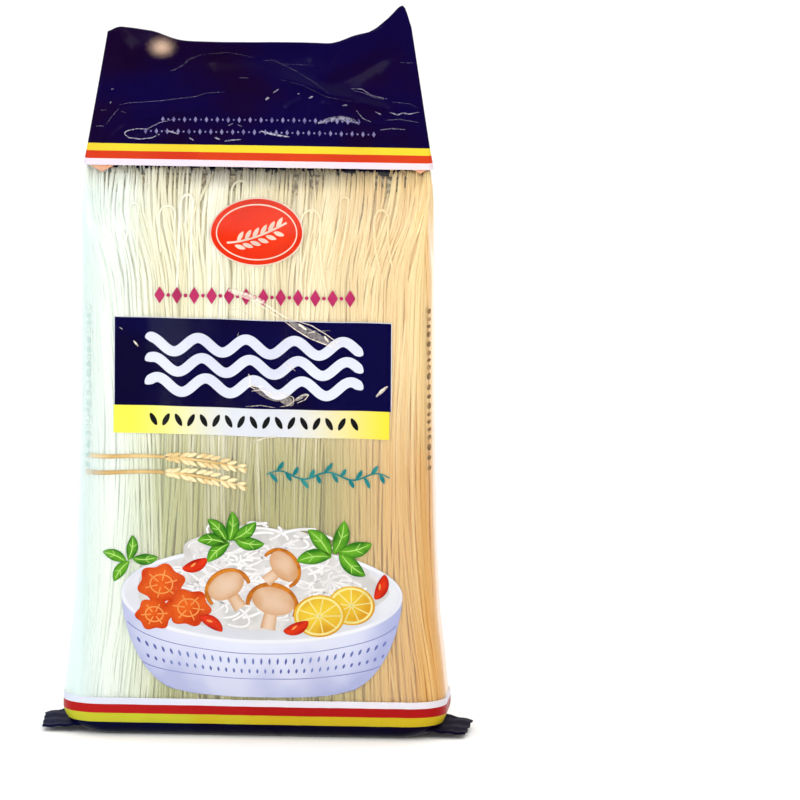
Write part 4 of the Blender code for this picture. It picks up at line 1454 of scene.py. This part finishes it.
def side_marks(name, middle, width, material):
    """A column of small dashes down one front corner, wrapped on the skin."""
    rng = np.random.default_rng(8)
    points, quads, count = [], [], 0
    z = 0.1150
    while z < 0.1820:
        length = rng.uniform(0.0014, 0.0032)
        flat, faces, _, _ = leaf(middle, z + length / 2, length, width, 0.5 * math.pi, 0.3, steps=6)
        points.append(flat)
        quads.append(faces + count)
        count += len(flat)
        z += length + rng.uniform(0.0010, 0.0024)
    s, z = np.concatenate(points).T
    wrapped, _ = wrap(s, z, np.full(len(s), -SIDE_MARK_LIFT))
    return build_mesh(name, wrapped, np.concatenate(quads), materials=[material])


# Inks: colour, the one it drifts to, how much its shapes' shade counts, and the patches' scale
INKS = {
    "navy": ((3, 0, 58), (5, 0, 44), 0.0, 25.0),
    "white": ((208, 212, 228), (200, 203, 221), 0.0, 30.0),
    "black": ((22, 22, 26),),
    "orange_red": ((222, 48, 12), (190, 34, 14), 0.45, 40.0),
    "pale_pink": ((226, 202, 186),),
    "magenta": ((176, 46, 96), (158, 38, 84), 0.0, 90.0),
    "teal": ((20, 112, 116), (52, 136, 134), 0.3, 120.0),
    "straw": ((224, 196, 140), (184, 144, 84), 0.7, 90.0),
    "straw_light": ((242, 226, 184), (208, 174, 112), 0.7, 120.0),
    "lilac": ((210, 213, 230), (160, 166, 206), 0.8, 30.0),
    "inside": ((186, 188, 198), (210, 212, 220), 0.6, 30.0),
    "porcelain": ((222, 223, 230), (202, 204, 218), 0.5, 30.0),
    "blue": ((78, 88, 156), (120, 132, 190), 0.3, 60.0),
    "noodle_shade": ((186, 184, 184), (206, 204, 205), 0.2, 140.0),
    "noodle_white": ((232, 231, 233), (200, 197, 200), 0.8, 140.0),
    "lemon": ((222, 192, 60), (198, 142, 34), 0.7, 70.0),
    "lemon_light": ((228, 214, 140),),
    "carrot": ((216, 96, 30), (186, 54, 14), 0.7, 110.0),
    "carrot_light": ((228, 148, 78),),
    "browned": ((200, 122, 38), (158, 84, 22), 0.5, 260.0),
    "tan": ((214, 188, 166), (192, 144, 102), 0.8, 70.0),
    "green": ((100, 166, 42), (40, 106, 22), 0.8, 160.0),
    "green_light": ((170, 214, 110),),
    "chilli": ((212, 52, 20), (162, 20, 12), 0.8, 120.0),
    "pale_mark": ((122, 118, 160), (84, 78, 126), 0.0, 300.0),
    "dark_mark": ((112, 88, 58), (176, 142, 96), 0.0, 260.0),
    # Painted glare: the left column's side marks are pale and cool, washed by the light from the left.
    "glare_washed_side_mark": ((176, 200, 194), (206, 222, 218), 0.0, 260.0),
    "gusset": ((222, 160, 124), (206, 134, 98), 0.6, 120.0),
}

# Printed films: both colours, and where they differ from the rest the creases, roughness and coat
FILMS = {
    "film_navy": ((7, 0, 54), (18, 0, 35)),
    "film_navy_base": ((8, 10, 46), (12, 4, 32), 0.22, 0.6, 0.0),
    "film_top_white": ((222, 206, 213), (212, 204, 222), 0.15),
    "film_top_red": ((198, 60, 26), (188, 46, 24), 0.15),
    "film_top_yellow": ((218, 198, 50), (214, 184, 48), 0.15),
    "film_base_white": ((206, 210, 226), (214, 210, 220), 0.15),
    "film_base_red": ((168, 26, 26), (158, 20, 20), 0.15),
    "film_base_yellow": ((184, 184, 46), (190, 166, 32), 0.15),
}

# Painted highlights on creases, a painted warm reflection, and veils of haze and painted glare in film:
# colour, glow, and how much of them the wisps take
GLINTS = {
    "milky_haze_and_glare": ((244, 250, 242), 0.0, 0.0),
    "crease_highlight_header": ((200, 196, 220), 0.08, 0.8),
    "crease_highlight_front": ((250, 238, 222), 0.20),
    "painted_warm_reflection": ((200, 168, 146), 0.03, 0.0),
}


def ink_set():
    """Every ink and printed film, by name."""
    inks = {name: ink_material("ink_" + name, *values) for name, values in INKS.items()}
    inks.update((name, printed_film(name, *values)) for name, values in FILMS.items())
    inks.update((name, glint_material(name, *values)) for name, values in GLINTS.items())
    inks["band"] = band_material()
    return inks


# Stage, light and camera

CAMERA_AZIMUTH = 4.5
CAMERA_ELEVATION = 10.0
CAMERA_ROLL = 0.22
CAMERA_LENS = 1000.0
SENSOR_WIDTH = 36.0
FRAME_WIDTH = 0.339
AIM_RIGHT = 0.0600
AIM_UP = 0.139


def camera_axes():
    """The unit vectors to the camera's right, up and back."""
    a, e = math.radians(CAMERA_AZIMUTH), math.radians(CAMERA_ELEVATION)
    back = Vector((math.sin(a) * math.cos(e), -math.cos(a) * math.cos(e), math.sin(e)))
    right = Vector((math.cos(a), math.sin(a), 0))
    return right, back.cross(right), back


def add_camera():
    """A long lens from the photograph's angle, with the pack left of the frame's middle."""
    data = bpy.data.cameras.new("camera")
    data.lens = CAMERA_LENS
    data.sensor_width = SENSOR_WIDTH
    data.clip_start, data.clip_end = 0.1, 50.0
    camera = bpy.data.objects.new("camera", data)
    bpy.context.scene.collection.objects.link(camera)
    right, up, back = camera_axes()
    distance = FRAME_WIDTH * CAMERA_LENS / SENSOR_WIDTH
    facing = Matrix((right, up, back)).transposed().to_4x4()
    camera.matrix_world = (
        Matrix.Translation(right * AIM_RIGHT + up * AIM_UP + back * distance)
        @ facing
        @ Matrix.Rotation(math.radians(CAMERA_ROLL), 4, "Z")
    )
    bpy.context.scene.camera = camera


def add_floor():
    """A wide pale floor, which the glossy film doesn't mirror."""
    size = 8.0
    points = [(-size, -size, 0), (size, -size, 0), (size, size, 0), (-size, size, 0)]
    nodes = material_nodes("floor")
    material = nodes.surface(nodes.add("BsdfDiffuse", {"Color": (0.99, 0.99, 0.99, 1)}).outputs[0])
    floor = build_mesh("floor", np.array(points, float), [[0, 1, 2, 3]], materials=[material])
    floor.visible_glossy = False


def add_light(name, place, size, power, colour, glint=False):
    """A soft box that faces the pack: one that only lights it, or one that only glints on it."""
    data = bpy.data.lights.new(name, "AREA")
    data.shape = "RECTANGLE"
    data.size, data.size_y = size
    data.energy = power
    data.color = colour
    light = bpy.data.objects.new(name, data)
    light.location = place
    aim = Vector((0, 0, 0.15)) - Vector(place)
    light.rotation_mode = "QUATERNION"
    light.rotation_quaternion = aim.to_track_quat("-Z", "Y")
    light.visible_diffuse = not glint
    light.visible_glossy = glint
    bpy.context.scene.collection.objects.link(light)


def add_world():
    """Pale light from behind and above, and hardly any from low in front, so the film stays clear."""
    world = bpy.data.worlds.new("world")
    nodes = Nodes(world)
    background = nodes.tree.nodes["Background"]
    _, y, z = nodes.axes("Generated")
    bright = nodes.maths("MAXIMUM", nodes.ramp(y, 0.0, 0.6), nodes.ramp(z, 0.25, 0.9))
    strength = nodes.maths("MULTIPLY_ADD", bright, 1.30, 0.05)
    nodes.tree.links.new(strength, background.inputs["Strength"])
    background.inputs["Color"].default_value = (1.0, 1.0, 1.0, 1.0)
    bpy.context.scene.world = world


def add_lights():
    """Cool light from the left, warm light from the right, a low fill, and lights that only glint."""
    add_light("front", (-0.2, -1.6, 0.9), (1.2, 1.0), 8.0, (1.0, 0.99, 0.96))
    add_light("fill", (0.1, -1.5, 0.16), (1.0, 0.3), 4.0, (1.0, 0.98, 0.94))
    add_light("left", (-1.2, -0.9, 0.6), (0.6, 0.9), 6.0, (0.88, 0.97, 1.0))
    add_light("right", (1.2, -1.0, 0.6), (0.5, 0.8), 4.5, (1.0, 0.88, 0.68))
    add_light("glint_left", (-0.80, -0.90, 0.70), (0.45, 0.45), 3.0, (1.0, 1.0, 1.0), glint=True)
    add_light("glint_right", (0.75, -0.90, 0.75), (0.45, 0.45), 3.0, (1.0, 0.93, 0.82), glint=True)


def main():
    scene = bpy.context.scene
    scene.view_settings.view_transform = "Standard"
    inks = ink_set()
    noodles = noodle_material()
    window = film_window()
    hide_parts(NODE)
    pieces = [window, film_header(inks), film_base(inks)]
    for name, side in (("base_flap_left", -1), ("base_flap_right", 1)):
        pieces.append(base_flap(name, side, inks["film_navy_base"]))
    pieces += add_noodles(noodles)
    pieces.append(bundle_core(core_material()))
    groups = (
        front_haze, label, emblem, magenta_row, teal_vine, rice_stalks, bowl_picture, lemon_slices,
        carrot_slices, mushroom_slices, herb_leaves, chilli_slices, header_marks, gusset_marks,
        back_print, glints,
    )
    for make in groups:
        pieces += [ink.piece() for ink in make(inks)]
    pieces.append(side_marks("print_side_marks_left", -0.0715, 0.0022, inks["glare_washed_side_mark"]))
    pieces.append(side_marks("print_side_marks_right", 0.0780, 0.0036, inks["dark_mark"]))
    for piece in pieces:
        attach(piece, BODY)
    add_floor()
    add_world()
    add_lights()
    add_camera()


main()
